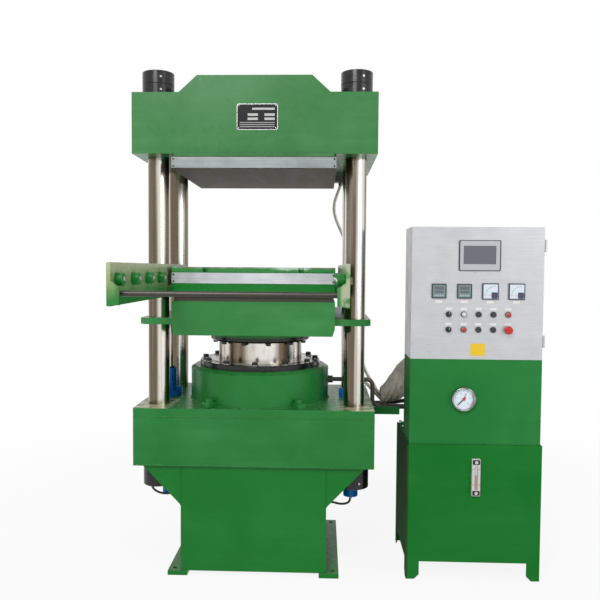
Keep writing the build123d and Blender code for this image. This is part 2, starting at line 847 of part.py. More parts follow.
def roller_places():
    return [roller_first_y + i * roller_pitch for i in range(roller_count)]


def roller_z():
    return lower_plate_top - 0.5 * roller_d - seat_gap


def roller(side, y):
    """A roller with its bore and the recess that hides its pin's head."""
    outer, bore = 0.5 * roller_d, 0.5 * roller_pin_d + running_gap
    start, length = seat_gap, roller_length
    recess, depth = 0.5 * roller_recess_d, 2 * roller_pin_head
    body = turned(
        (bore, start), (outer - roller_round, start), (outer, start + roller_round),
        (outer, length - roller_round), (outer - roller_round, length),
        (recess, length), (recess, length - depth + seat_gap), (bore, length - depth + seat_gap),
    )
    body = Pos(arm_inner_x, y, roller_z()) * Rot(0, -90, 0) * body
    return body if side > 0 else mirror(body, Plane.YZ)


def tie_bar():
    z = arm_top - tie_bar_below_arm_top
    bar = bar_x(-arm_inner_x, arm_inner_x, tie_bar_y, z, tie_bar_d)
    nut = Pos(-arm_inner_x, tie_bar_y, z) * Rot(0, 90, 0) * hexagon(tie_nut_flats, tie_nut_length)
    return bar + nut + mirror(nut, Plane.YZ)


# Side lift cylinders: slim cylinders through the lower beam that raise the
# platen quickly before the main cylinder presses.
def lift_barrels():
    outer, bore = 0.5 * lift_barrel_d, 0.5 * lift_bore_d
    rod_hole = 0.5 * lift_rod_d + running_gap
    barrel = turned(
        (0, lift_barrel_bottom), (outer, lift_barrel_bottom), (outer, lift_barrel_top),
        (rod_hole, lift_barrel_top), (rod_hole, lift_barrel_top - lift_cap),
        (bore, lift_barrel_top - lift_cap), (bore, lift_barrel_bottom + lift_cap),
        (0, lift_barrel_bottom + lift_cap),
    )
    flange = block(
        -0.5 * lift_flange_width, 0.5 * lift_flange_width, -0.5 * lift_flange_width,
        0.5 * lift_flange_width, lower_beam_top, lower_beam_top + lift_flange_thick,
    )
    flange = fillet(flange.edges().filter_by(Axis.Z), lift_flange_thick)
    flange_top = lower_beam_top + lift_flange_thick
    barrel += flange - post(0, 0, lower_beam_top - overrun, flange_top + overrun, lift_bore_d)
    inner = outer - 0.25 * lift_port_depth
    half = 0.5 * lift_port_depth
    port_top = lower_beam_top + lift_port_height
    top_port = block(inner, inner + lift_port_width, -half, half, lower_beam_top, port_top)
    left, right = Rot(0, 0, 180) * barrel + top_port, barrel + Rot(0, 0, 180) * top_port
    x, y, z = lift_hose_routes[1][0]
    low_port = block(x + lift_x, -inner, -half, half, z - half, z + half)
    return [Pos(-lift_x, 0, 0) * (left + low_port), Pos(lift_x, 0, 0) * right]


def lift_rods():
    rod = post(0, 0, lift_rod_bottom, ear_bottom, lift_rod_d)
    rod += post(0, 0, lift_rod_bottom, lift_rod_bottom + lift_piston, lift_bore_d - 2 * running_gap)
    return [Pos(sx * lift_x, 0, 0) * rod for sx in (-1, 1)]


# Oil tank: a closed box of plate on four folded legs, with a bolted lid.
def oil_tank():
    x0, x1 = tank_left, tank_right
    y0, y1 = tank_front, tank_front + tank_depth
    shell = block(x0, x1, y0, y1, tank_floor, tank_top)
    shell -= block(
        x0 + tank_plate, x1 - tank_plate, y0 + tank_plate, y1 - tank_plate,
        tank_floor + tank_plate, tank_top - tank_plate,
    )
    for sx, x in ((1, x0), (-1, x1)):
        for sy, y in ((1, y0), (-1, y1)):
            front = front_profile(
                min(y, y + sy * tank_plate), max(y, y + sy * tank_plate),
                (x, tank_floor), (x + sx * leg_width, tank_floor),
                (x + sx * leg_width, leg_chamfer), (x + sx * (leg_width - leg_chamfer), 0), (x, 0),
            )
            side = side_profile(
                min(x, x + sx * tank_plate), max(x, x + sx * tank_plate),
                (y, tank_floor), (y + sy * leg_width, tank_floor),
                (y + sy * leg_width, leg_chamfer), (y + sy * (leg_width - leg_chamfer), 0), (y, 0),
            )
            shell += front + side
    lid_back = y1 - lid_inset
    shell += block(x0 + lid_inset, x1 - lid_inset, lid_back - lid_depth, lid_back, tank_top, lid_top)
    for x, y, d in ((motor_x, motor_y, pump_d), (breather_x, motor_y, breather_neck_d)):
        shell -= post(x, y, tank_top - 2 * tank_plate, lid_top + overrun, d + 2 * hole_gap)
    return shell


def cabinet_shell():
    """A folded sheet cover, open at the back, round the gauge and the valves."""
    x0, x1, y0 = cabinet_left, cabinet_right, cabinet_front
    shell = block(x0, x1, y0, y0 + shell_depth, tank_top, shell_top)
    shell -= block(
        x0 + sheet, x1 - sheet, y0 + sheet, y0 + shell_depth + overrun,
        tank_top - overrun, shell_top - sheet,
    )
    shell -= bar_y(gauge_center_x, y0 - overrun, y0 + sheet + overrun, gauge_z, gauge_back_d + 2 * hole_gap)
    return shell


def control_box():
    x0, x1 = cabinet_left, cabinet_right
    y0, y1 = cabinet_front + door_thick + door_gap, cabinet_front + shell_depth
    box = block(x0, x1, y0, y1, shell_top, box_top)
    box -= block(x0 + sheet, x1 - sheet, y0 + sheet, y1 - sheet, shell_top + sheet, box_top - sheet)
    rim = box_flange + sheet
    box -= block(x0 + rim, x1 - rim, y0 - overrun, y0 + 2 * sheet, shell_top + rim, box_top - rim)
    for z in hinge_places():
        z0 = z - 0.5 * hinge_height
        box += post(hinge_x, hinge_y, z0, z, hinge_d)
        box += post(hinge_x, hinge_y, z, z + 0.5 * hinge_height, hinge_pin_d)
        box += block(hinge_x - 0.5 * hinge_leaf, hinge_x + 0.5 * hinge_leaf, hinge_y, y0 + hinge_d, z0, z)
        box += block(x1, hinge_x + 0.5 * hinge_leaf, y0, y0 + hinge_d, z0, z)
    return box


def hinge_places():
    return (shell_top + hinge_inset, box_top - hinge_inset)


def control_door():
    """A folded stainless door with its device cut-outs, hinge halves and lock."""
    x0, x1, y0 = cabinet_left, cabinet_right, cabinet_front
    door = block(x0, x1, y0, y0 + door_thick, shell_top, box_top)
    door = fillet(door.edges().filter_by(Axis.Z).group_by(Axis.Y)[0], sheet)
    door -= block(
        x0 + sheet, x1 - sheet, y0 + sheet, y0 + door_thick + overrun,
        shell_top + sheet, box_top - sheet,
    )
    for x, z, width, height in panel_cutouts():
        half_w, half_h = 0.5 * width, 0.5 * height
        door -= block(x - half_w, x + half_w, y0 - overrun, y0 + sheet + overrun, z - half_h, z + half_h)
    for x, z in button_places():
        door -= bar_y(x, y0 - overrun, y0 + sheet + overrun, z, bezel_body_d + 2 * hole_gap)
    lock_x = x0 + lock_inset
    lock_z = 0.5 * (shell_top + box_top)
    door += bar_y(lock_x, y0 - lock_face, y0 + door_thick, lock_z, lock_d)
    for z in hinge_places():
        z0, z1 = z + seat_gap, z + 0.5 * hinge_height
        door += block(x1 - sheet, hinge_x, hinge_y - 0.5 * hinge_leaf, hinge_y + 0.5 * hinge_leaf, z0, z1)
        door += post(hinge_x, hinge_y, z0, z1, hinge_d)
        door -= post(hinge_x, hinge_y, z0 - overrun, z1 + overrun, hinge_pin_d + 2 * running_gap)
    return door


def device_x(along):
    return cabinet_middle + along


def panel_cutouts():
    """Centre, width and height of each rectangular hole in the door."""
    inset = 2 * meter_body_inset
    screen_hole = (screen_width - 2 * screen_bezel, screen_height - 2 * screen_bezel)
    holes = [(device_x(screen_x), shell_top + screen_z, *screen_hole)]
    for x in controller_places:
        holes.append((device_x(x), shell_top + meter_z, controller_side - inset, controller_side - inset))
    for x in meter_places:
        holes.append((device_x(x), shell_top + meter_z, meter_side - inset, meter_side - inset))
    return holes


def button_places():
    return [(device_x(x), shell_top + z) for z in button_heights for x in button_across]


def device(x, z, width, height, rise, corner, window_w, window_h, sink, body_w, body_h, depth):
    """A panel device: a framed front with a sunk window, and its body behind."""
    y0 = cabinet_front
    front = block(x - 0.5 * width, x + 0.5 * width, y0 - rise, y0, z - 0.5 * height, z + 0.5 * height)
    front = fillet(front.edges().filter_by(Axis.Y), corner)
    front = chamfer(front.faces().sort_by(Axis.Y)[0].edges(), 0.5 * sink)
    front -= block(
        x - 0.5 * window_w, x + 0.5 * window_w, y0 - rise - overrun, y0 - rise + sink,
        z - 0.5 * window_h, z + 0.5 * window_h,
    )
    body = block(x - 0.5 * body_w, x + 0.5 * body_w, y0, y0 + depth, z - 0.5 * body_h, z + 0.5 * body_h)
    return front + body


def panel_instruments():
    cutouts = panel_cutouts()
    fit = 2 * hole_gap
    x, z, hole_w, hole_h = cutouts[0]
    pieces = [device(
        x, z, screen_width, screen_height, screen_bezel, screen_corner,
        screen_glass_width, screen_glass_height, screen_glass_sink, hole_w - fit, hole_h - fit, screen_depth,
    )]
    for x, z, hole_w, hole_h in cutouts[1:]:
        side = hole_w + 2 * meter_body_inset
        window = side - 2 * meter_window
        pieces.append(device(
            x, z, side, side, meter_face, meter_window_sink, window, window, meter_window_sink,
            hole_w - fit, hole_h - fit, meter_depth,
        ))
    return pieces


def button_bezels():
    """A ring for each button, selector and lamp, with its threaded neck."""
    pieces = []
    for x, z in button_places():
        y0 = cabinet_front
        ring = bar_y(x, y0 - bezel_rise, y0, z, bezel_d)
        ring = chamfer(ring.edges().group_by(Axis.Y)[0], bezel_edge)
        ring += bar_y(x, y0, y0 + bezel_body_length, z, bezel_body_d)
        ring -= bar_y(x, y0 - bezel_rise - overrun, y0 - bezel_floor, z, bezel_bore)
        ring -= bar_y(x, y0 - overrun, y0 + push_stem, z, neck_bore)
        pieces.append(ring)
    return pieces


def cap(column, row, rise, travel, edge):
    """A round cap in a bezel, standing out by its rise, with its stem."""
    x, z = device_x(button_across[column]), shell_top + button_heights[row]
    back = cabinet_front - bezel_floor - travel - seat_gap
    stem = bar_y(x, back, back + push_stem - seat_gap, z, neck_bore - 2 * seat_gap)
    head = bar_y(x, cabinet_front - rise, back, z, bezel_bore - 2 * seat_gap)
    head = fillet(head.edges().group_by(Axis.Y)[0], edge)
    return head + stem


def push_button(column, row):
    return cap(column, row, push_rise, push_travel, push_round)


def lamp(column, row):
    return cap(column, row, lamp_rise, 0, 3 * push_round)


def selector(column, row):
    x, z = device_x(button_across[column]), shell_top + button_heights[row]
    knob = cap(column, row, knob_base, 0, push_round)
    grip = block(
        x - 0.5 * knob_width, x + 0.5 * knob_width, cabinet_front - knob_reach, cabinet_front - knob_base,
        z - 0.5 * knob_length, z + 0.5 * knob_length,
    )
    grip = chamfer(grip.edges().filter_by(Axis.Z).group_by(Axis.Y)[0], 0.25 * knob_width)
    return knob + grip


def emergency_stop():
    x, z = device_x(button_across[-1]), shell_top + button_heights[-1]
    front = cabinet_front - mushroom_rise
    back = cabinet_front - bezel_floor - stop_travel - seat_gap
    stem = bar_y(x, back, back + push_stem - seat_gap, z, neck_bore - 2 * seat_gap)
    neck = bar_y(x, front + mushroom_thick, back, z, bezel_bore - 2 * seat_gap)
    head = bar_y(x, front, front + mushroom_thick, z, mushroom_d)
    head = fillet(head.edges().group_by(Axis.Y)[0], mushroom_round)
    return head + neck + stem


def mounting_plate():
    """The plate in the control box that carries the contactors and their rail."""
    x0, x1 = cabinet_left + mounting_plate_inset, cabinet_right - mounting_plate_inset
    back = cabinet_front + shell_depth - sheet
    y0 = back - mounting_plate_back
    z0, z1 = shell_top + mounting_plate_inset, box_top - mounting_plate_inset
    plate = block(x0, x1, y0, y0 + mounting_plate_thick, z0, z1)
    for x in (x0 + mounting_plate_inset, x1 - mounting_plate_inset):
        for z in (z0 + mounting_plate_inset, z1 - mounting_plate_inset):
            plate += bar_y(x, y0, back, z, mounting_plate_back)
    rows = contactor_rows
    for row in range(rows):
        z = z0 + (row + 0.5) * (z1 - z0) / rows
        plate += block(
            x0 + mounting_plate_inset, x1 - mounting_plate_inset, y0 - rail_depth, y0,
            z - rail_half, z + rail_half,
        )
        for i in range(contactor_count):
            x = x0 + (i + 1.0) * (x1 - x0) / (contactor_count + 1)
            front = y0 - rail_depth - contactor_depth
            plate += block(
                x - contactor_half, x + contactor_half, front, y0 - rail_depth,
                z - contactor_half_h, z + contactor_half_h,
            )
    return plate


# Pressure gauge: a steel case through the shell's front, with a sunk dial.
def pressure_gauge():
    x, y0, z = gauge_center_x, cabinet_front, gauge_z
    case = bar_y(x, y0 - gauge_rise, y0, z, gauge_d)
    case = fillet(case.edges().group_by(Axis.Y)[0], gauge_rim_height)
    face_y = y0 - gauge_rise
    case -= bar_y(x, face_y - overrun, face_y + gauge_dial_sink, z, gauge_d - 2 * gauge_rim)
    case += bar_y(x, y0, y0 + gauge_back_length, z, gauge_back_d)
    return case + bar_y(x, pointer_back, dial_y, z, pointer_pin_d)


def gauge_pointer():
    """The needle, on its pin, pointing down and left to the dial's zero."""
    needle = Pos(0.5 * (pointer_length - pointer_tail), 0, 0) * Box(
        pointer_length + pointer_tail, pointer_thick, pointer_width)
    needle += Rot(90, 0, 0) * Cylinder(0.5 * pointer_hub_d, pointer_hub_height)
    needle -= Rot(90, 0, 0) * Cylinder(0.5 * pointer_pin_d + running_gap, pointer_hub_height + 2 * overrun)
    return Pos(gauge_center_x, pointer_y, gauge_z) * Rot(0, 135, 0) * needle


def level_gauge():
    x, y0, z0 = device_x(level_x), tank_front, level_low
    z1 = z0 + level_height
    body = block(x - 0.5 * level_width, x + 0.5 * level_width, y0 - level_rise, y0, z0, z1)
    body = fillet(body.edges().filter_by(Axis.Y), level_round)
    body = chamfer(body.faces().sort_by(Axis.Y)[0].edges(), 0.5 * level_round)
    middle = 0.5 * (z0 + z1)
    half_w, half_h = 0.5 * level_slot_width, 0.5 * level_slot_height
    body -= block(x - half_w, x + half_w, y0 - level_rise - overrun, y0 - level_rise + level_slot_depth,
                  middle - half_h, middle + half_h)
    inset = 0.25 * (level_height - level_slot_height)
    for z in (z0 + inset, z1 - inset):
        body += bar_y(x, y0 - level_rise - 0.25 * level_rise, y0 - level_rise, z, level_bolt_d)
    return body


# Pump motor: a flanged, finned motor standing on the tank's lid, its pump and
# strainer hanging through the lid into the oil.
def pump_motor():
    z0 = lid_top
    body_d = motor_d - 2 * motor_rib
    motor = post(0, 0, z0, z0 + motor_flange, motor_flange_d)
    motor += post(0, 0, z0 + motor_flange, z0 + motor_height - motor_cowl_height, body_d)
    fin = block(
        0.5 * body_d - motor_rib, 0.5 * motor_d, -0.5 * motor_rib_thick, 0.5 * motor_rib_thick,
        z0 + motor_flange, z0 + motor_height - motor_cowl_height,
    )
    for i in range(motor_rib_count):
        motor += Rot(0, 0, (i + 0.5) * 360 / motor_rib_count) * fin
    cowl = post(0, 0, z0 + motor_height - motor_cowl_height, z0 + motor_height, motor_cowl_d)
    motor += fillet(cowl.edges().group_by(Axis.Z)[-1], motor_rib)
    middle = z0 + 0.5 * motor_height
    motor += block(
        -0.5 * motor_box_width, 0.5 * motor_box_width,
        0.5 * body_d - motor_rib, 0.5 * motor_d + motor_box_depth,
        middle - 0.5 * motor_box_height, middle + 0.5 * motor_box_height,
    )
    pump_end = z0 - pump_drop
    motor += post(0, 0, pump_end, z0, pump_d)
    motor += post(0, 0, pump_end - strainer_length, pump_end, strainer_d)
    return Pos(motor_x, motor_y, 0) * motor


def valve_block():
    z0 = lid_top
    x0, x1 = valve_x - 0.5 * valve_width, valve_x + 0.5 * valve_width
    y0, y1 = valve_y - 0.5 * valve_depth, valve_y + 0.5 * valve_depth
    block_body = block(x0, x1, y0, y1, z0, z0 + valve_height)
    block_body = chamfer(block_body.edges(), 0.5 * sheet)
    for i in (-1, 1):
        x = valve_x + 0.5 * i * solenoid_pitch
        top = z0 + valve_height
        spool = block(x - 0.4 * solenoid_pitch, x + 0.4 * solenoid_pitch, y0, y1, top, top + spool_height)
        block_body += spool
        for sy, y in ((-1, y0), (1, y1)):
            block_body += bar_y(x, y, y + sy * solenoid_length, top + 0.5 * spool_height, solenoid_d)
    return block_body


def filler_breather():
    z0 = lid_top
    y = motor_y
    neck = post(breather_x, y, z0 - breather_drop, z0 + 0.6 * breather_height, breather_neck_d)
    top = post(breather_x, y, z0 + 0.5 * breather_height, z0 + breather_height, breather_d)
    return neck + fillet(top.edges().group_by(Axis.Z)[-1], 0.1 * breather_d)


# Wiring of the hot plates: cover strips, boxes, glands and braided conduits.
def upper_terminal_covers():
    x0 = 0.5 * plate_side
    y0 = 0.5 * plate_side - terminal_box_depth
    top = upper_beam_bottom - sheet
    box = block(x0, x0 + terminal_box_length, y0, 0.5 * plate_side, top - terminal_box_height, top)
    box = chamfer(box.edges().filter_by(Axis.Z), sheet)
    x, y = x0 + upper_gland_along, y0 + 0.7 * terminal_box_depth
    z = top - terminal_box_height - upper_gland_show
    box += post(x, y, z, z + gland_nut_length, gland_nut_d)
    x, y, z = x0 + terminal_box_length, y0 + 0.5 * terminal_box_depth, top - 0.5 * terminal_box_height
    box += bar_x(x, x + side_gland_length, y, z, gland_nut_d)
    return cover_strips(upper_plate_under) + [box]


def lower_terminal_covers():
    x0 = 0.5 * plate_side + sheet
    box = block(
        x0, x0 + junction_length, junction_y, junction_y + junction_depth,
        ear_top, ear_top + junction_height,
    )
    box = chamfer(box.faces().sort_by(Axis.Z)[-1].edges(), sheet)
    x, y, z = lower_conduit_route[0]
    gland = bar_x(0.5 * plate_side, x, y, z, gland_nut_d)
    return cover_strips(support_top) + [box, gland]


def conduit(route):
    return tube(route, corner_radii(route), conduit_d)


def fitted_hose(route, radii, d, fitting_d, fitting_length):
    """A hose with a swaged fitting at each end."""
    hose = tube(route, radii, d)
    for here, beyond in ((route[0], route[1]), (route[-1], route[-2])):
        start = Vector(*here)
        axis = Plane(start, z_dir=Vector(*beyond) - start)
        hose += axis * Pos(0, 0, 0.5 * fitting_length) * Cylinder(0.5 * fitting_d, fitting_length)
    return hose


def hydraulic_hoses():
    """Hoses of the two lift cylinders and from the valves along the trough."""
    pieces = []
    for route in lift_hose_routes:
        radii = corner_radii(route)
        pieces.append(fitted_hose(route, radii, lift_hose_d, lift_fitting_d, lift_fitting_length))
    for route in trough_hose_routes:
        radii = corner_radii(route)
        pieces.append(fitted_hose(route, radii, hose_d, hose_fitting_d, hose_fitting_length))
    return pieces


def pressure_pipe():
    """A bent steel pipe from the cylinder's port over the beam to the valves."""
    side_x = 0.5 * beam_width + pipe_side_gap
    end_x = valve_x - pipe_to_valve_middle
    route = (
        (port_x, pipe_port_y, pipe_port_z), (side_x, pipe_port_y, pipe_port_z),
        (side_x, pipe_port_y, pipe_low_z),
        (end_x, pipe_port_y, pipe_low_z), (end_x, pipe_end_y, pipe_low_z),
    )
    last_bend = pipe_bend_share * (pipe_port_y - pipe_end_y)
    return fitted_hose(route, [pipe_bend, pipe_bend, last_bend], pipe_d, pipe_nut_d, pipe_nut_length)


# Trough: a folded channel between the press and the cabinet.
def hose_trough():
    x0, x1 = 0.5 * beam_width, tank_left
    trough = block(x0, x1, trough_y0, trough_y1, trough_bottom, trough_bottom + trough_height)
    trough -= block(
        x0 - overrun, x1 + overrun, trough_y0 + trough_sheet, trough_y1 - trough_sheet,
        trough_bottom + trough_sheet, trough_bottom + trough_height + overrun,
    )
    return trough


def hose_sleeve():
    """A soft wrap round the bundle, widening towards the cabinet."""
    def body(less):
        faces = []
        rows = zip(sleeve_along, sleeve_half_width, sleeve_half_height, sleeve_lift)
        for along, half_y, half_z, lift in rows:
            x, z = 0.5 * beam_width + sleeve_start + along, sleeve_foot + lift + half_z
            plane = Plane(origin=(x, sleeve_y, z), x_dir=(0, 1, 0), z_dir=(1, 0, 0))
            faces.append(plane * Ellipse(half_y - less, half_z - less))
        return loft(faces)
    return body(0) - body(sleeve_wall)


save("pedestal", pedestal())
save("lower_beam", lower_beam())
save("upper_beam", upper_beam())
save("columns", *columns())
save("column_nuts", *column_nuts())
save("main_cylinder", *main_cylinder())
save("gland_ring", gland_ring())
save("gland_bolts", *gland_bolts())
save("upper_insulation_board", insulation_board(upper_plate_under + hot_plate_thick, upper_beam_bottom))
save("upper_hot_plate", hot_plate(upper_plate_under))
save("upper_heaters", *heaters(upper_plate_under))
save("lower_insulation_board", insulation_board(bolster_top, board_top))
save("support_plate", support_plate())
save("lower_hot_plate", hot_plate(support_top))
save("lower_heaters", *heaters(support_top))
save("carrier_plate", carrier_plate())
save("bolster", bolster())
save("guide_bushes", *guide_bushes())
save("ram", ram())
save("clamp_ring", clamp_ring())
save("side_arms", side_arm(-1), side_arm(1))
save("tie_bar", tie_bar())
save("lift_barrels", *lift_barrels())
save("lift_rods", *lift_rods())
for side, side_name in ((-1, "left"), (1, "right")):
    for number, place in enumerate(roller_places(), 1):
        save(f"roller_{side_name}_{number}", roller(side, place))
save("oil_tank", oil_tank())
save("cabinet_shell", cabinet_shell())
save("control_box", control_box())
save("mounting_plate", mounting_plate())
save("control_door", control_door())
save("panel_instruments", *panel_instruments())
save("button_bezels", *button_bezels())
save("indicator_lamps", lamp(1, 0), lamp(4, 0), lamp(1, 1))
save("heating_selector", selector(0, 0))
save("mode_selector", selector(0, 1))
save("close_button", push_button(2, 0))
save("open_button", push_button(3, 0))
save("pump_start_button", push_button(2, 1))
save("pump_stop_button", push_button(3, 1))
save("emergency_stop", emergency_stop())
save("pressure_gauge", pressure_gauge())
save("gauge_pointer", gauge_pointer())
save("level_gauge", level_gauge())
save("pump_motor", pump_motor(), filler_breather())
save("valve_block", valve_block())
save("upper_terminal_covers", *upper_terminal_covers())
save("lower_terminal_covers", *lower_terminal_covers())
save("upper_conduits", *[conduit(route) for route in upper_conduit_routes])
save("lower_conduit", conduit(lower_conduit_route))
save("hydraulic_hoses", *hydraulic_hoses())
save("pressure_pipe", pressure_pipe())
save("hose_trough", hose_trough())
save("hose_sleeve", hose_sleeve())
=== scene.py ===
import bmesh
import bpy
import numpy as np
from mathutils import Matrix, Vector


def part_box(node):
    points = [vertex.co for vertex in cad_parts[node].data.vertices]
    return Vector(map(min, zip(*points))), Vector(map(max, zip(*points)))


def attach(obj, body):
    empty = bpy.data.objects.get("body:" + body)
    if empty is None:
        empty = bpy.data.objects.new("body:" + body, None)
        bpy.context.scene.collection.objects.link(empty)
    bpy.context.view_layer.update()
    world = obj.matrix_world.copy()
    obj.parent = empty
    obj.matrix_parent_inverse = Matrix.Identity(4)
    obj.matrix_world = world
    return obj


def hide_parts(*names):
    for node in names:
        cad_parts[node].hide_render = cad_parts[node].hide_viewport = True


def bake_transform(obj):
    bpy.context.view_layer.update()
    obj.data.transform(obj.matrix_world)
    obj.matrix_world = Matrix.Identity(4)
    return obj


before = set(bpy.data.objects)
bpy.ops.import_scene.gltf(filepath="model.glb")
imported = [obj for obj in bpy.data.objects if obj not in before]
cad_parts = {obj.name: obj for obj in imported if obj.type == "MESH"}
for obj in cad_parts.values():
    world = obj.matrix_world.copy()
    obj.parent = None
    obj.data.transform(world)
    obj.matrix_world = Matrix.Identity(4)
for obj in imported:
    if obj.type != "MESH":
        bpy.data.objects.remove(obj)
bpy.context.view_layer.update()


# Pedestal: a welded box of 16 mm plate with gussets and foot plates, sprayed
# with green machine enamel. Its paint is on most of the press and is built
# here: a gloss coat in two tones, a fine peel and thin chipped edges.
def wired(tree, kind, sockets=None, **settings):
    """Adds one node; a socket takes a number, a colour of three parts or another node's output."""
    made = tree.nodes.new(kind)
    for name, value in settings.items():
        setattr(made, name, value)
    for name, value in (sockets or {}).items():
        socket = made.inputs[name]
        if isinstance(value, bpy.types.NodeSocket):
            tree.links.new(value, socket)
        else:
            socket.default_value = (*value, 1.0) if socket.type == "RGBA" else value
    return made


def effect(name, takes, gives):
    """An empty shader group; each input and output has its kind, or its first value where it is a Float."""
    tree = bpy.data.node_groups.new(name, "ShaderNodeTree")
    for way, sockets in (("INPUT", takes), ("OUTPUT", gives)):
        for label, kind in sockets.items():
            plain = not isinstance(kind, str)
            socket = tree.interface.new_socket(
                label, in_out=way, socket_type="NodeSocket" + ("Float" if plain else kind))
            if plain:
                socket.default_value = kind
    return tree, tree.nodes.new("NodeGroupInput").outputs, tree.nodes.new("NodeGroupOutput").inputs


def give(gives, **values):
    """Links each value to the group's output of that name."""
    for name, value in values.items():
        value.id_data.links.new(value, gives[name])


def span(value, low, high, to_low=0.0, to_high=1.0):
    """Maps value from low..high to to_low..to_high, and holds it there."""
    sockets = {"Value": value, "From Min": low, "From Max": high, "To Min": to_low, "To Max": to_high}
    return wired(value.id_data, "ShaderNodeMapRange", sockets).outputs["Result"]


def grain(place, scale, detail=2.0, roughness=0.5, distortion=0.0):
    """Noise of about 1/scale metres on the given coordinates."""
    return wired(place.id_data, "ShaderNodeTexNoise", {
        "Vector": place, "Scale": scale, "Detail": detail, "Roughness": roughness,
        "Distortion": distortion}).outputs["Fac"]


def times(a, b=0.0, operation="MULTIPLY"):
    """One sum on one or two values: a product, or the operation named."""
    return wired(a.id_data, "ShaderNodeMath", {0: a, 1: b}, operation=operation).outputs[0]


def mixed(share, a, b):
    """Colour a where share is 0, and b where it is 1."""
    return wired(share.id_data, "ShaderNodeMix", {0: share, 6: a, 7: b}, data_type="RGBA").outputs[2]


def stretched(place, x, y, z):
    """The coordinates times x, y and z, so that a pattern runs long where the factor is small."""
    return wired(place.id_data, "ShaderNodeMapping", {"Vector": place, "Scale": (x, y, z)}).outputs["Vector"]


def split(place):
    """The x, y and z of the coordinates."""
    return wired(place.id_data, "ShaderNodeSeparateXYZ", {0: place}).outputs[:3]


edge_wear, takes, gives = effect("edge_wear", {"Place": "Vector", "Width": 0.003, "Chips": 0.5},
                                 {"Mask": "Float", "Rounded": "Vector"})
rounded = wired(edge_wear, "ShaderNodeBevel", {"Radius": takes["Width"]}, samples=4).outputs[0]
flat = wired(edge_wear, "ShaderNodeNewGeometry").outputs["Normal"]
facing = wired(edge_wear, "ShaderNodeVectorMath", {0: rounded, 1: flat},
               operation="DOT_PRODUCT").outputs["Value"]
chips = span(grain(takes["Place"], 55.0, 6.0, 0.7), takes["Chips"], 0.72)
give(gives, Mask=times(span(facing, 0.995, 0.8), chips), Rounded=rounded)

sprayed_coat, takes, gives = effect(
    "sprayed_coat", {"Place": "Vector", "Colour": "Color", "Thin": "Color", "Peel": 0.5},
    {"Colour": "Color", "Gloss": "Float", "Height": "Float"})
clouds = grain(takes["Place"], 2.6, 3.0, 0.55, 0.6)
sweeps = grain(stretched(takes["Place"], 2.0, 2.0, 22.0), 1.0, 3.0, 0.6)
thinness = times(span(clouds, 0.36, 0.68), span(sweeps, 0.3, 0.75, 0.35, 1.0))
specks = span(grain(takes["Place"], 140.0, 3.0, 0.7), 0.7, 0.78, 0.0, 0.35)
give(gives, Colour=mixed(specks, mixed(thinness, takes["Colour"], takes["Thin"]), (0.05, 0.26, 0.07)),
     Gloss=span(grain(takes["Place"], 26.0, 4.0, 0.6), 0.25, 0.75, 0.2, 0.38),
     Height=times(grain(takes["Place"], 210.0, 2.0), takes["Peel"]))

settled_dust, takes, gives = effect("settled_dust", {"Place": "Vector", "Amount": 0.5}, {"Mask": "Float"})
upward = split(wired(settled_dust, "ShaderNodeNewGeometry").outputs["Normal"])[2]
fall = span(grain(takes["Place"], 34.0, 6.0, 0.72), 0.42, 0.78)
give(gives, Mask=times(times(span(upward, 0.6, 0.98), fall), takes["Amount"]))


def material(name, **values):
    """A material, its Principled shader with the given values set, and the Object coordinates."""
    made = bpy.data.materials.new(name)
    made.use_nodes = True
    shader = made.node_tree.nodes["Principled BSDF"]
    for label, value in values.items():
        shader.inputs[label.replace("_", " ")].default_value = value
    return made, shader, made.node_tree.nodes.new("ShaderNodeTexCoord").outputs["Object"]


def effect_in(group, place, **values):
    """One of the shared effects, placed in a material with its own values."""
    return wired(place.id_data, "ShaderNodeGroup", {"Place": place, **values}, node_tree=group).outputs


def finished(shader, colour, gloss, height=None, distance=0.0, strength=1.0, normal=None):
    """Feeds colour and gloss to the shader, and a bump of that distance where a height is given."""
    tree = shader.id_data
    tree.links.new(colour, shader.inputs["Base Color"])
    tree.links.new(gloss, shader.inputs["Roughness"])
    if height is not None:
        sockets = {"Height": height, "Distance": distance, "Strength": strength}
        if normal is not None:
            sockets["Normal"] = normal
        tree.links.new(wired(tree, "ShaderNodeBump", sockets).outputs["Normal"], shader.inputs["Normal"])


def enamel(name, colour, thin, worn, edge=0.0035, dust=0.35, peel=0.5, patches=None, shine=0.22, dull=0.35):
    """Gloss machine paint: two tones by its thickness, worn at the edges and dusty on top. patches is a
    function that puts another colour in places, shine its reflection and dull its roughness under dust."""
    made, shader, place = material(name, Specular_IOR_Level=shine)
    coat = effect_in(sprayed_coat, place, Colour=colour, Thin=thin, Peel=peel)
    wear = effect_in(edge_wear, place, Width=edge, Chips=0.5)
    dusty = effect_in(settled_dust, place, Amount=dust)["Mask"]
    under = patches(place, coat["Colour"]) if patches else coat["Colour"]
    finished(shader, mixed(wear["Mask"], mixed(dusty, under, (0.3, 0.27, 0.21)), worn),
             times(span(dusty, 0.0, 1.0, dull - 0.35, dull), coat["Gloss"], "ADD"),
             coat["Height"], 0.0006, 0.35, wear["Rounded"])
    return made


def dress(made, *nodes):
    """Puts a material in every slot of the named CAD nodes."""
    for name in nodes:
        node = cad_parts[name]
        if not node.material_slots:
            node.data.materials.append(made)
        for slot in node.material_slots:
            slot.material = made


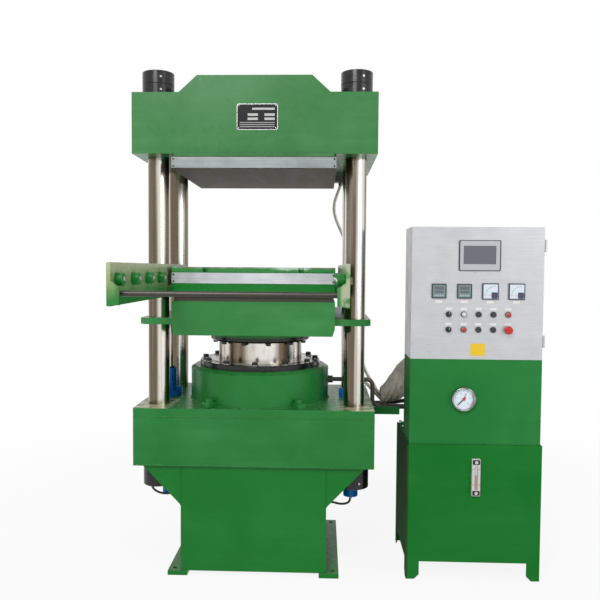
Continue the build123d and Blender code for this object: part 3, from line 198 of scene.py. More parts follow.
def grid(points, around=False, along=False, ends=False):
    """Vertices and faces of a surface over two parameters: each face joins a point of one row and its
    neighbour to those of the next row. around and along close a direction, ends fills first and last row."""
    rows, across = points.shape[:2]
    i, j = np.meshgrid(np.arange(rows if along else rows - 1), np.arange(across if around else across - 1),
                       indexing="ij")
    after, beside = (i + 1) % rows, (j + 1) % across
    quads = np.stack([i * across + j, i * across + beside, after * across + beside, after * across + j], -1)
    faces = quads.reshape(-1, 4).tolist()
    if ends:
        faces += [list(range(across)), list(range((rows - 1) * across, rows * across))]
    return points.reshape(-1, 3), faces


def meshed(name, shapes, made, smooth):
    """One object of one or more shapes, its faces turned outwards and smooth up to an angle in degrees."""
    mesh = bpy.data.meshes.new(name)
    points, faces, count = [], [], 0
    for vertices, polygons in shapes:
        points.append(vertices)
        faces += [[index + count for index in polygon] for polygon in polygons]
        count += len(vertices)
    mesh.from_pydata(np.concatenate(points).tolist(), [], faces)
    work = bmesh.new()
    work.from_mesh(mesh)
    bmesh.ops.recalc_face_normals(work, faces=work.faces[:])
    work.to_mesh(mesh)
    work.free()
    mesh.polygons.foreach_set("use_smooth", [smooth > 0] * len(mesh.polygons))
    if smooth:
        mesh.set_sharp_from_angle(angle=np.radians(smooth))
    mesh.materials.append(made)
    shown = bpy.data.objects.new(name, mesh)
    bpy.context.scene.collection.objects.link(shown)
    return shown


def piece(name, shapes, made, body, smooth=30.0):
    """A rigid piece that rides on a body, in the given material."""
    shown = meshed(name, shapes, made, smooth)
    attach(shown, body)
    return shown


def even_steps(path, pitch, parts=1, least=6):
    """The path at even steps of pitch / parts, the length along it there, and its unit direction."""
    path = np.array(path, float)
    at = np.concatenate([[0], np.cumsum(np.linalg.norm(np.diff(path, axis=0), axis=1))])
    along = np.linspace(0, at[-1], max(least, int(parts * at[-1] / pitch)))
    even = np.stack([np.interp(along, at, path[:, k]) for k in range(3)], 1)
    ahead = np.gradient(even, axis=0)
    return even, along, ahead / np.linalg.norm(ahead, axis=1)[:, None]


def swept(line, side, up, radius, sides):
    """A round carried along a line: the centre and radius (cos a side + sin a up), for a full turn of a."""
    turn = np.linspace(0, 2 * np.pi, sides, endpoint=False)[None, :, None]
    ring = np.cos(turn) * side[:, None] + np.sin(turn) * up[:, None]
    return grid(line[:, None] + radius[:, None, None] * ring, around=True, ends=True)


def weld(path, radius, pitch=0.009, normal=(0, 0, 1)):
    """A weld bead: a round carried along the path, its radius rippling as 1 + 0.16 sin(2 pi s / pitch),
    with a slow waver of 0.08 over 7.3 pitches, and half of it sunk in the plates."""
    line, s, ahead = even_steps(path, pitch, 3, 4)
    side = np.cross(ahead, np.array(normal, float))
    side /= np.linalg.norm(side, axis=1)[:, None]
    size = radius * (1 + 0.16 * np.sin(2 * np.pi * s / pitch) + 0.08 * np.sin(2 * np.pi * s / (7.3 * pitch)))
    return swept(line, side, np.cross(side, ahead), size, 8)


green_enamel = enamel("green_enamel", (0.003, 0.152, 0.015), (0.009, 0.188, 0.027), (0.07, 0.29, 0.1))
dress(green_enamel, "pedestal")
half_wall, wall_face, plate_top = 0.366, 0.358, 0.022
gusset_foot, gusset_top = 0.357, 0.56
sides, faces = (-half_wall, half_wall), (-wall_face, wall_face)
seams = [[(x, y, gusset_top - 0.001) for x in sides] for y in faces]
seams += [[(x, y, gusset_foot), (x, y, gusset_top)] for x in sides for y in faces]
seams += [[(x, y, plate_top) for y in (0.02 - wall_face, wall_face - 0.02)] for x in sides]
piece("pedestal_welds", [weld(seam, 0.0035, normal=(0.31, 0.83, 0.47)) for seam in seams], green_enamel,
      "frame")


# Lower beam and hydraulic cylinder: the beam is a welded box of 40 mm plate,
# the cylinder a steel casting whose head stands on it, held by four lugs.
# Cream patches show on the top face round the columns' feet.
def cream_patches(place, colour):
    """Cream patches on the top face, outside x 0.4 and in front of the back columns."""
    x, y, z = split(place)
    outside = span(times(x, operation="ABSOLUTE"), 0.405, 0.425)
    top = span(z, 0.8492, 0.8497)
    ragged = span(grain(stretched(place, 1.0, 2.2, 1.0), 7.0, 5.0, 0.62), 0.47, 0.53)
    return mixed(times(times(outside, top), times(ragged, span(y, 0.1, -0.05))), colour, (0.42, 0.4, 0.24))


beam_enamel = enamel("beam_enamel", (0.01, 0.16, 0.025), (0.03, 0.215, 0.052), (0.12, 0.32, 0.14),
                     dust=0.25, patches=cream_patches)
dress(beam_enamel, "lower_beam", "main_cylinder")
low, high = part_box("lower_beam")
edges = [[(low.x + 0.004, low.y + 0.001, z), (high.x - 0.004, low.y + 0.001, z)]
         for z in (low.z + 0.004, high.z - 0.041)]
piece("beam_welds", [weld(edge, 0.0032, 0.012, (0, 1, 0.2)) for edge in edges],
      beam_enamel, "frame")
turn, head_radius, head_foot = np.linspace(0, 2 * np.pi, 241), 0.374, 0.851
foot_ring = np.stack([head_radius * np.cos(turn), head_radius * np.sin(turn), np.full(241, head_foot)], 1)
piece("cylinder_weld", [weld(foot_ring, 0.004)], beam_enamel, "frame")

# Gland ring, its socket screws and the clamp ring above: turned steel,
# blackened and oily, bolted on the cylinder's head and under the bolster.
black_oxide, shader, place = material("black_oxide", Metallic=0.3, Specular_IOR_Level=0.6)
smear = grain(place, 38.0, 5.0, 0.65)
wear = effect_in(edge_wear, place, Width=0.0016, Chips=0.42)
dark = mixed(span(smear, 0.35, 0.7), (0.004, 0.004, 0.006), (0.014, 0.0135, 0.0135))
finished(shader, mixed(wear["Mask"], dark, (0.16, 0.155, 0.15)), span(smear, 0.3, 0.75, 0.12, 0.32),
         smear, 0.0005, 0.25, wear["Rounded"])
dress(black_oxide, "gland_ring", "gland_bolts", "clamp_ring")

# Columns, ram and rods: ground and hard-chromed steel under a brown oil film,
# with a painted highlight along one side, upright streaks of painted reflection
# and fine grinding marks.
chrome_film_and_highlights, takes, gives = effect(
    "chrome_film_and_highlights", {"Place": "Vector", "Wiped": 0.5, "Film": "Color", "Clean": "Color", "Streaks": 60.0},
    {"Colour": "Color", "Gloss": "Float", "Height": "Float"})
# Upright streaks of painted reflection move where the painted highlight shows over the oil film.
reflection_band = span(grain(stretched(takes["Place"], 1.0, 1.0, 0.012), takes["Streaks"], 3.0, 0.6),
              0.25, 0.75, -0.3, 0.3)
spots = grain(stretched(takes["Place"], 1.0, 1.0, 0.3), 24.0, 5.0, 0.7)
film_and_highlights = mixed(span(times(takes["Wiped"], reflection_band, "ADD"), 0.0, 1.0), takes["Film"], takes["Clean"])
give(gives, Colour=mixed(span(spots, 0.55, 0.8, 0.0, 0.5), film_and_highlights, (0.24, 0.165, 0.085)),
     Gloss=span(spots, 0.3, 0.8, 0.14, 0.3),
     Height=grain(stretched(takes["Place"], 0.6, 0.6, 60.0), 12.0, 2.0, 0.5))


def chromed(name, centre, radius, film, highlight_colour, reflection_scale, turns=((-62, 0.86, 0.99), (-168, 0.9, 1.0))):
    """Bright steel under an oil film, with a painted highlight along lines at some turns round each rod,
    where the cosine of the angle from that line passes from one value to another. Rods stand at plus and
    minus centre."""
    made, shader, place = material(name, Metallic=1.0)
    off = []
    for across, middle in zip(split(place), centre):
        if middle:
            across = times(across, times(times(across, operation="SIGN"), middle), "SUBTRACT")
        off.append(across)
    # Painted highlight: the bright colour shows in a stripe along each given turn round the rod.
    painted_highlight = None
    for turn, low, high in turns:
        cosine = times(times(off[0], np.cos(np.radians(turn)) / radius),
                       times(off[1], np.sin(np.radians(turn)) / radius), "ADD")
        stripe = span(cosine, low, high)
        painted_highlight = stripe if painted_highlight is None else times(painted_highlight, stripe, "MAXIMUM")
    look = effect_in(chrome_film_and_highlights, place, Wiped=painted_highlight, Film=film, Clean=highlight_colour, Streaks=reflection_scale)
    finished(shader, look["Colour"], look["Gloss"], look["Height"], 0.0002, 0.1)
    return made


column_x, column_y, column_radius, ram_radius, rod_radius = 0.502, 0.239, 0.0535, 0.225, 0.019
dress(chromed("column_chrome", (column_x, column_y), column_radius, (0.15, 0.12, 0.08),
              (0.8, 0.77, 0.71), 70.0), "columns")
dress(chromed("rod_chrome", (column_x, 0.0), rod_radius, (0.15, 0.125, 0.095), (0.66, 0.63, 0.57), 120.0),
      "lift_rods")
# Turns round the ram where its painted highlight stripes lie.
highlight_lines = ((-84, 0.9, 0.995), (-140, 0.97, 1.0), (-35, 0.96, 1.0), (70, 0.9, 1.0), (160, 0.95, 1.0))
dress(chromed("ram_chrome", (0.0, 0.0), ram_radius, (0.165, 0.125, 0.08), (0.8, 0.77, 0.72), 26.0,
              highlight_lines), "ram")

# Upper beam: like the lower one, with its crowned web on top. The plate on
# its front is black anodised sheet with a bright rim, riveted, its fields bare.
pale_enamel = enamel("pale_enamel", (0.027, 0.158, 0.038), (0.058, 0.212, 0.071), (0.14, 0.32, 0.15))
dress(pale_enamel, "upper_beam")


def two_toned(name, first, second, noise, gloss, stretch=None, **values):
    """A material of two near tones that one noise mixes, its roughness going with that noise."""
    made, shader, place = material(name, **values)
    tone = grain(stretched(place, *stretch) if stretch else place, *noise)
    finished(shader, mixed(tone, first, second), span(tone, 0.3, 0.7, *gloss))
    return made


def slab(x, z, width, height, corner, y, thick, rim=0.0006):
    """A sheet standing in the XZ plane: a rounded rectangle at corner arcs of the given radius,
    its front edge drawn in by rim; y is its back and thick how far it stands forward."""
    turn = np.linspace(0, 2 * np.pi, 33)[:-1].reshape(4, 8)
    turn = np.concatenate([turn, turn[:, -1:] + np.pi / 16], 1)
    middle = np.array([(1, 1), (-1, 1), (-1, -1), (1, -1)])[:, None]
    half = np.array((width / 2 - corner, height / 2 - corner))
    rows = []
    for less, depth in ((0, 0), (0, thick - rim), (rim, thick)):
        edge = middle * half + (corner - less) * np.stack([np.cos(turn), np.sin(turn)], 2)
        edge = edge.reshape(-1, 2)
        rows.append(np.stack([x + edge[:, 0], np.full(len(edge), y - depth), z + edge[:, 1]], 1))
    return grid(np.stack(rows), around=True, ends=True)


def turned(profile, sides=32):
    """A body turned about Z: each (radius, height) goes round a full circle, and both ends are closed."""
    profile = [(0.0001, profile[0][1]), *profile]
    if profile[-1][0] > 0.0001:
        profile.append((0.0001, profile[-1][1]))
    radius, height = np.array(profile, float).T
    angle = np.linspace(0, 2 * np.pi, sides, endpoint=False)
    circle = np.stack([np.cos(angle), np.sin(angle)], 1)
    tall = np.broadcast_to(height[:, None, None], (len(radius), sides, 1))
    return grid(np.concatenate([radius[:, None, None] * circle, tall], 2), around=True, ends=True)


def placed(shape, at, axis=(0, 0, 1), over=(0.3, 0.5, 0.8)):
    """The shape with its Z turned to axis, its X as near to over as that allows, and moved to at."""
    axis = np.array(axis, float) / np.linalg.norm(axis)
    side = np.array(over, float) - np.dot(over, axis) * axis
    side /= np.linalg.norm(side)
    return shape[0] @ np.stack([side, np.cross(axis, side), axis]) + np.array(at, float), shape[1]


plate_rim = two_toned("plate_rim", (0.42, 0.43, 0.44), (0.58, 0.59, 0.6), (12.0, 3.0), (0.24, 0.38),
                      (3.0, 3.0, 90.0), Metallic=0.9)
plate_black = two_toned("plate_black", (0.004, 0.004, 0.005), (0.014, 0.014, 0.016), (90.0, 4.0, 0.7),
                        (0.28, 0.42), Specular_IOR_Level=0.15)
printed_white = two_toned("printed_white", (0.34, 0.34, 0.33), (0.5, 0.5, 0.49), (300.0, 3.0, 0.7),
                          (0.4, 0.55))
mid_x, mid_z, plate_width, plate_height, beam_front = 0.015, 2.283, 0.2, 0.126, -0.38
piece("name_plate_rim", [slab(mid_x, mid_z, plate_width, plate_height, 0.01, beam_front, 0.0016)],
      plate_rim, "frame")
piece("name_plate", [slab(mid_x, mid_z, plate_width - 0.006, plate_height - 0.006, 0.008,
                          beam_front - 0.0014, 0.0008)], plate_black, "frame")
fields = [(x, z, 0.05, 0.012, 0.001) for x in (-0.022, 0.06) for z in (0.01, -0.01)]
fields += [(0.03, 0.038, 0.11, 0.01, 0.001)]
fields += [(0.0, z, 0.17, 0.003, 0.0004) for z in (-0.028, -0.038, -0.048)]
piece("name_plate_fields", [slab(mid_x + x, mid_z + z, *size, beam_front - 0.0021, 0.0005, 0.0001)
                            for x, z, *size in fields], printed_white, "frame")
rivet = turned([(0.0034, 0.0), (0.003, 0.0012), (0.0016, 0.002), (0.0001, 0.0022)], 12)
rivet_spots = [(mid_x + x, beam_front - 0.0016, mid_z + z) for x in (-0.09, 0.09) for z in (-0.054, 0.054)]
piece("name_plate_rivets", [placed(rivet, spot, (0, -1, 0)) for spot in rivet_spots],
      plate_rim, "frame")

# Column nuts: round, blackened, two on each end of a column, each locked with
# two socket set screws whose bright ends show in its side.
dress(black_oxide, "column_nuts")
bright_screw = two_toned("bright_screw", (0.42, 0.42, 0.43), (0.62, 0.62, 0.62), (400.0, 3.0, 0.6),
                         (0.22, 0.38), Metallic=1.0)
nut_radius, nut_height = 0.08, 0.063
set_screw = turned([(0.0058, 0.0), (0.0058, 0.0006), (0.0052, 0.0012), (0.003, 0.0012), (0.003, 0.0004)], 18)
low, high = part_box("column_nuts")
half, next_half = 0.5 * nut_height, 1.5 * nut_height
levels = (high.z - half, high.z - next_half, low.z + half, low.z + next_half)
screws = []
for middle in [(x, y, z) for x in (-column_x, column_x) for y in (-column_y, column_y) for z in levels]:
    for turn in np.radians((-68, 112)):
        out = np.array((np.cos(turn), np.sin(turn), 0.0))
        screws.append(placed(set_screw, np.array(middle) + (nut_radius - 0.0004) * out, out))
piece("nut_set_screws", screws, bright_screw, "frame")

# Hot plates and support plate: milled steel, tempered brown by the heat, with
# cartridge heaters in drilled bores. The lower plate's sides are painted.
plate_steel, shader, place = material("plate_steel", Metallic=0.5, Specular_IOR_Level=0.2)
light, burnt = (0.15, 0.125, 0.09), (0.036, 0.026, 0.018)
cuts = grain(stretched(place, 1.0, 26.0, 26.0), 7.0, 4.0, 0.6)
bloom = grain(stretched(place, 2.0, 0.35, 1.0), 6.0, 4.0, 0.6, 0.8)
steel = mixed(span(cuts, 0.35, 0.75, 0.0, 0.45), mixed(span(bloom, 0.35, 0.68), burnt, light), burnt)
wear = effect_in(edge_wear, place, Width=0.0015, Chips=0.3)
finished(shader, mixed(wear["Mask"], steel, (0.4, 0.38, 0.35)), span(bloom, 0.3, 0.7, 0.52, 0.7),
         cuts, 0.0002, 0.2, wear["Rounded"])
dress(plate_steel, "upper_hot_plate", "upper_heaters", "lower_heaters")
dress(green_enamel, "lower_hot_plate", "support_plate")

# Insulation boards: pressed glass-fibre cement, flecked; the upper one is painted
# over with the beam, and the lower one is dark brown, which is painted shade of
# its recess between the support plate and the bolster.
board, shader, place = material("pressed_board_painted_shade")
fleck = grain(place, 160.0, 6.0, 0.75)
finished(shader, mixed(span(fleck, 0.35, 0.7), (0.04, 0.036, 0.028), (0.085, 0.075, 0.058)),
         span(fleck, 0.3, 0.7, 0.75, 0.9), fleck, 0.001, 0.4)
dress(board, "lower_insulation_board")
dress(pale_enamel, "upper_insulation_board")

# Cover strips and boxes: bare aluminium sheet, faintly rolled along X, held by
# a pair of dark cross-head screws at each end.
rolled_sheet, takes, gives = effect(
    "rolled_sheet", {"Place": "Vector", "Light": "Color", "Dark": "Color", "Lines": 9.0},
    {"Colour": "Color", "Gloss": "Float", "Height": "Float"})
lines = grain(stretched(takes["Place"], 0.5, 60.0, 60.0), takes["Lines"], 4.0, 0.6)
marks = grain(takes["Place"], 9.0, 5.0, 0.7)
tone = times(span(lines, 0.35, 0.65), span(marks, 0.3, 0.65, 0.45, 1.0))
give(gives, Colour=mixed(tone, takes["Dark"], takes["Light"]), Gloss=span(marks, 0.3, 0.75, 0.26, 0.46),
     Height=lines)


def rolled(name, light, dark, metallic=1.0, lines=9.0):
    """Bare rolled or brushed metal in two tones, its lines along X."""
    made, shader, place = material(name, Metallic=metallic)
    look = effect_in(rolled_sheet, place, Light=light, Dark=dark, Lines=lines)
    finished(shader, look["Colour"], look["Gloss"], look["Height"], 0.0002, 0.08)
    return made


dress(rolled("bare_aluminium", (0.68, 0.7, 0.73), (0.46, 0.47, 0.5), 0.6), "lower_terminal_covers")
# The upper covers take a darker copy of the same aluminium: painted shade.
dress(rolled("painted_shade_aluminium", (0.3, 0.33, 0.33), (0.2, 0.22, 0.22), 0.6), "upper_terminal_covers")
screw_head = turned([(0.0046, 0.0), (0.0046, 0.0008), (0.0036, 0.002), (0.0014, 0.0024), (0.001, 0.0012)], 14)
plate_half, inset, strip_height, strip_face = 0.4, 0.009, 0.052, 0.4045
for label, under, body in (("upper", 2.03, "frame"), ("lower", 1.47, "platen")):
    foot = under + 0.5 * (0.06 - strip_height)
    heads = [placed(screw_head, (sx * (plate_half - inset), sy * strip_face, z), (0, sy, 0))
             for sx in (-1, 1) for sy in (-1, 1) for z in (foot + inset, foot + strip_height - inset)]
    piece(label + "_strip_screws", heads, black_oxide, body)

# Tie bar: a round steel bar between the tips of the two arms, screwed on at
# both ends and brown with old oil.
dress(rolled("dark_bar", (0.085, 0.078, 0.066), (0.036, 0.034, 0.03), 0.7, 3.0), "tie_bar")


# Mould plate: a steel plate that carries the mould out over the rollers. Its
# green paint is rubbed off along the top, where moulds have scraped it.
def rubbed_top(place, colour):
    """Pale scale and brown stains near the top face, ragged at their lower edge, and one pale splash."""
    x, y, z = split(place)
    ragged = grain(stretched(place, 1.0, 1.0, 0.25), 26.0, 5.0, 0.68)
    reach = span(times(z, times(ragged, 0.018), "ADD"), 1.5545, 1.558)
    scale = mixed(span(grain(place, 17.0, 4.0, 0.6), 0.42, 0.58), (0.2, 0.33, 0.27), (0.19, 0.15, 0.1))
    stained = mixed(times(reach, 0.85), colour, scale)
    middle = times(span(x, 0.08, 0.13), span(x, 0.29, 0.25))
    splash = times(middle, span(times(z, times(ragged, 0.03), "ADD"), 1.554, 1.56))
    return mixed(splash, stained, (0.4, 0.52, 0.46))


dress(enamel("mould_enamel", (0.028, 0.2, 0.042), (0.06, 0.25, 0.08), (0.3, 0.32, 0.26), dust=0.2,
             patches=rubbed_top), "carrier_plate")

# Bolster: a welded steel block whose four ears slide on the columns in bronze
# bushes. It is painted, and its paint is thin where it was rubbed clean.
dress(enamel("bolster_enamel", (0.022, 0.18, 0.036), (0.054, 0.24, 0.072), (0.16, 0.34, 0.17)), "bolster")
dress(two_toned("bronze", (0.42, 0.27, 0.1), (0.2, 0.13, 0.07), (60.0, 5.0, 0.65), (0.28, 0.5),
                Metallic=0.9), "guide_bushes")


# Ram: its gland has a turned steel wiper ring on top, and a plain washer lies
# under each of the ring's twelve socket screws.
def collar(inside, outside, foot, top, sides=48):
    """A washer about Z: a rectangle of the two radii and two heights, carried all round."""
    radius = np.array([inside, outside, outside, inside])[:, None]
    height = np.array([foot, foot, top, top])[:, None]
    turn = np.linspace(0, 2 * np.pi, sides, endpoint=False)
    rows = np.stack([radius * np.cos(turn), radius * np.sin(turn), np.broadcast_to(height, (4, sides))], 2)
    return grid(rows, around=True, along=True)


gland_top, screw_circle = 1.058, 0.3
turned_steel = two_toned("turned_steel", (0.34, 0.32, 0.29), (0.6, 0.58, 0.55), (70.0, 4.0, 0.6),
                         (0.18, 0.34), Metallic=1.0)
piece("wiper_ring", [collar(ram_radius + 0.0012, 0.27, gland_top - 0.0005, gland_top + 0.0022, 96)],
      turned_steel, "frame")
washer = collar(0.0152, 0.0192, 0.0, 0.0028, 24)
around = np.radians(np.arange(0, 360, 30))
piece("gland_washers", [placed(washer, (screw_circle * np.cos(turn), screw_circle * np.sin(turn), gland_top))
                        for turn in around], turned_steel, "frame")


# Side arms: cut from 15 mm plate, with folded ends and welded spacers, bolted
# to the support plate. Rubbed yellow-brown along the top, cream at one end.
def rubbed_arms(place, colour):
    """Bare primer fading down from the left arm's top edge, and cream patches near the right one's tip."""
    x, y, z = split(place)
    ragged = grain(stretched(place, 1.0, 0.5, 1.0), 16.0, 5.0, 0.65)
    reach = span(times(z, times(ragged, 0.08), "ADD"), 1.47, 1.59)
    worn = mixed(times(reach, span(x, -0.4, -0.41, 0.35, 0.92)), colour, (0.4, 0.44, 0.24))
    tip = times(span(y, -1.16, -1.24), span(x, 0.4, 0.41))
    cream_share = times(tip, span(grain(place, 14.0, 4.0, 0.6), 0.42, 0.52))
    return mixed(times(cream_share, 0.8), worn, (0.42, 0.43, 0.3))


dress(enamel("arm_enamel", (0.014, 0.165, 0.026), (0.044, 0.225, 0.06), (0.2, 0.3, 0.12),
             patches=rubbed_arms), "side_arms")
arm_face = 0.4375
cap_screw = turned([(0.0075, 0.0), (0.0075, 0.0068), (0.0068, 0.008), (0.0042, 0.008), (0.0042, 0.0035)], 20)
arm_screws = [placed(cap_screw, (sx * (arm_face - 0.0003), y, z), (sx, 0, 0))
              for sx in (-1, 1) for y in (-0.34, -0.22, -0.1, 0.02) for z in (1.424, 1.452)]
piece("arm_screws", arm_screws, black_oxide, "platen")

# Rollers: steel, painted over, turning on pins in the arms whose bright ends
# are held by a ring.
pin_end = turned([(0.0105, 0.0), (0.0105, 0.0012), (0.0085, 0.0016), (0.0062, 0.0016), (0.0062, 0.0034),
                  (0.0054, 0.0042)], 24)
for side, sign in (("left", -1), ("right", 1)):
    for order in "1234":
        roller = f"roller_{side}_{order}"
        dress(green_enamel, roller)
        low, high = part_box(roller)
        at = ((low.x if sign > 0 else high.x) + sign * 0.0002, 0.5 * (low.y + high.y), 0.5 * (low.z + high.z))
        piece(f"pin_end_{side}_{order}", [placed(pin_end, at, (-sign, 0, 0))],
              bright_screw, roller)


# Lift cylinders: tube, cap and foot painted blue, each with a black wiper round
# its rod. The pump motor is sprayed in the same blue and has a black moulding.
def black_cap(place, colour):
    """Black moulding beyond x 1.337, between the motor's flange and the filler breather."""
    return mixed(span(split(place)[0], 1.3365, 1.3385), colour, (0.012, 0.012, 0.013))


blue_enamel = enamel("blue_enamel", (0.003, 0.135, 0.5), (0.008, 0.18, 0.6), (0.2, 0.3, 0.45),
                     dust=0.2, patches=black_cap)
dress(blue_enamel, "lift_barrels", "pump_motor")
lift_top = 1.0
wiper = collar(rod_radius + 0.0006, 0.031, 0.0, 0.009, 40)
piece("lift_wipers", [placed(wiper, (x, 0, lift_top - 0.0004)) for x in (-column_x, column_x)],
      black_oxide, "frame")


# Oil tank and cabinet shell: folded and welded 4 mm sheet, sprayed green. The
# tank's left side is darkened with painted shade, and the lid closes with screws.
def painted_shade_left_side(place, colour):
    """Painted shade on the tank's left side: dark olive, in patches of noise stretched upright."""
    side = span(split(place)[0], 0.7765, 0.7735)
    shade_share = span(grain(stretched(place, 1.0, 1.0, 0.35), 6.0, 5.0, 0.6), 0.25, 0.62, 0.55, 0.95)
    return mixed(times(side, shade_share), colour, (0.022, 0.05, 0.016))


dress(enamel("tank_enamel", (0.01, 0.152, 0.022), (0.02, 0.186, 0.034), (0.06, 0.27, 0.08), dust=0.3,
             peel=0.35, patches=painted_shade_left_side, shine=0.04, dull=0.85), "oil_tank")
dress(enamel("cabinet_enamel", (0.019, 0.172, 0.036), (0.034, 0.215, 0.054), (0.08, 0.28, 0.1), dust=0.3,
             peel=0.35, shine=0.06, dull=0.7), "cabinet_shell", "hose_trough")
tank_left, tank_right, tank_back, lid_top, screw_inset = 0.767, 1.429, 0.132, 0.692, 0.016
lid_spots = [(x, y) for x in (tank_left + screw_inset, tank_right - screw_inset) for y in (-0.02, 0.105)]
lid_spots += [(x, tank_back - screw_inset) for x in (0.95, 1.1, 1.25)]
piece("lid_screws", [placed(cap_screw, (x, y, lid_top - 0.0004)) for x, y in lid_spots],
      bright_screw, "frame")


# Valve block and pump motor, on the lid: a green manifold under two cast spool
# bodies with black coils, and a fan cowl with a wire guard over a black disc of
# painted shade for its intake.
def valve_parts(place, colour):
    """Grey castings above the manifold's top, and black coils beyond its front and back faces."""
    x, y, z = split(place)
    away = times(times(y, 0.02, "SUBTRACT"), operation="ABSOLUTE")
    cast = mixed(span(away, 0.0552, 0.0558), (0.17, 0.17, 0.165), (0.012, 0.012, 0.013))
    return mixed(span(z, 0.842, 0.8426), colour, cast)


dress(enamel("valve_enamel", (0.019, 0.172, 0.036), (0.034, 0.215, 0.054), (0.3, 0.3, 0.28),
             patches=valve_parts), "valve_block")
motor_axis, cowl_top = np.array((1.23, 0.02, 0.0)), 0.992
# A black disc on the cowl under the guard: painted shade for the intake.
intake = turned([(0.075, 0.0), (0.0744, 0.001)], 64)
piece("intake_shade_disc", [placed(intake, motor_axis + (0, 0, cowl_top - 0.0002))],
      black_oxide, "frame")
spoke = turned([(0.0016, 0.0), (0.0016, 0.066)], 10)
guard = [placed(spoke, motor_axis + (0.008 * np.cos(turn), 0.008 * np.sin(turn), cowl_top + 0.0024),
                (np.cos(turn), np.sin(turn), 0)) for turn in np.radians((30, 150, 270))]
guard += [placed(collar(radius, radius + 0.0026, 0.0006, 0.0034, 64), motor_axis + (0, 0, cowl_top))
          for radius in (0.007, 0.02, 0.033, 0.046, 0.059, 0.072)]
piece("motor_guard", guard, blue_enamel, "frame")

# Level gauge: a sight glass in a cast body, bolted through its two ends, with
# red marks for the highest and lowest oil, and the oil's own level inside.
low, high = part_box("level_gauge")
gauge_mid, body_front = 0.5 * (low.x + high.x), -0.364
dress(two_toned("pale_cast", (0.5, 0.47, 0.48), (0.62, 0.59, 0.61), (120.0, 4.0, 0.6), (0.32, 0.48),
                Metallic=0.1), "level_gauge")
piece("level_caps", [slab(gauge_mid, z, 0.036, 0.024, 0.004, body_front + 0.0004, 0.0014)
                     for z in (low.z + 0.016, high.z - 0.016)], black_oxide, "frame")
sight_glass, shader, place = material("sight_glass", Metallic=0.0, IOR=1.49)
film = grain(place, 90.0, 3.0)
oil = mixed(film, (0.34, 0.28, 0.17), (0.42, 0.35, 0.22))
empty = mixed(film, (0.52, 0.53, 0.55), (0.6, 0.61, 0.63))
finished(shader, mixed(span(split(place)[2], 0.5345, 0.5335), empty, oil), span(film, 0.3, 0.7, 0.06, 0.12))
glass_line = np.array([(gauge_mid, -0.3585, z) for z in (0.462 + 0.0004, 0.584 - 0.0004)])
side, up = np.array([(1, 0, 0)] * 2), np.array([(0, 1, 0)] * 2)
piece("level_glass", [swept(glass_line, side, up, np.full(2, 0.0055), 24)],
      sight_glass, "frame")
marker_red = two_toned("marker_red", (0.52, 0.02, 0.012), (0.62, 0.045, 0.025), (200.0, 3.0), (0.35, 0.5))
piece("level_marks", [slab(gauge_mid + x, z, 0.009, 0.0035, 0.0008, body_front + 0.0003, 0.001, 0.0002)
                      for x in (-0.0135, 0.0135) for z in (0.488, 0.566)], marker_red, "frame")

# Pressure gauge: a chromed case with a printed dial of 0 to 25 behind glass,
# over a needle that turns on the dial's pin.
gauge_chrome, shader, place = material("gauge_chrome", Metallic=1.0)
haze = span(grain(place, 34.0, 4.0), 0.4, 0.62)
finished(shader, mixed(haze, (0.2, 0.19, 0.19), (0.46, 0.45, 0.46)), span(haze, 0.3, 0.7, 0.08, 0.2))
dress(gauge_chrome, "pressure_gauge")
dial_white = two_toned("dial_white", (0.6, 0.7, 0.8), (0.7, 0.78, 0.86), (30.0, 3.0), (0.25, 0.4),
                       Coat_Weight=0.6, Coat_Roughness=0.05)
dial_ink = two_toned("dial_ink", (0.008, 0.01, 0.016), (0.022, 0.024, 0.032), (400.0, 3.0), (0.4, 0.55))
dress(dial_ink, "gauge_pointer")
low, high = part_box("pressure_gauge")
dial_x, dial_z, dial_y = 0.5 * (low.x + high.x), 0.5 * (low.z + high.z), -0.352
piece("gauge_dial", [placed(collar(0.0024, 0.0515, 0.0, 0.0007, 64), (dial_x, dial_y - 0.0001, dial_z),
                            (0, -1, 0), (1, 0, 0))], dial_white, "frame")


def bar(centre, turn, inside, outside, width, thick=0.0002, tip=1.0):
    """A flat mark on a dial: a strip from one radius to the other, turned from the top about the centre,
    tip times as wide at its outer end."""
    out = np.array((np.sin(turn), 0, np.cos(turn)))
    side = np.array((np.cos(turn), 0, -np.sin(turn)))
    corners = np.array([(-1, inside), (1, inside), (tip, outside), (-tip, outside)])
    flat = centre + corners[:, :1] * side * width / 2 + corners[:, 1:] * out
    return grid(np.stack([flat, flat - np.array((0, thick, 0))]), around=True, ends=True)


printed = np.array((dial_x, dial_y - 0.0007, dial_z))
ticks = [bar(printed, turn, 0.0405 if index % 5 else 0.0365, 0.0445, 0.0006 if index % 5 else 0.0011)
         for index, turn in enumerate(np.radians(np.linspace(-135, 135, 51)))]
piece("gauge_ticks", ticks, dial_ink, "frame")
band = [bar(printed, turn, 0.0452, 0.049, 0.0022) for turn in np.radians(np.arange(60, 136, 2))]
piece("gauge_red_band", band, marker_red, "frame", 0)
piece("gauge_drag_hand", [bar(printed - (0, 0.0004, 0), np.radians(18), 0.004, 0.03, 0.003)],
      marker_red, "frame", 0)
cap = turned([(0.007, 0.0), (0.0064, 0.0016), (0.004, 0.0024), (0.0001, 0.0026)], 24)
piece("gauge_pointer_cap", [placed(cap, (dial_x, -0.3579, dial_z), (0, -1, 0))],
      marker_red, "pointer")


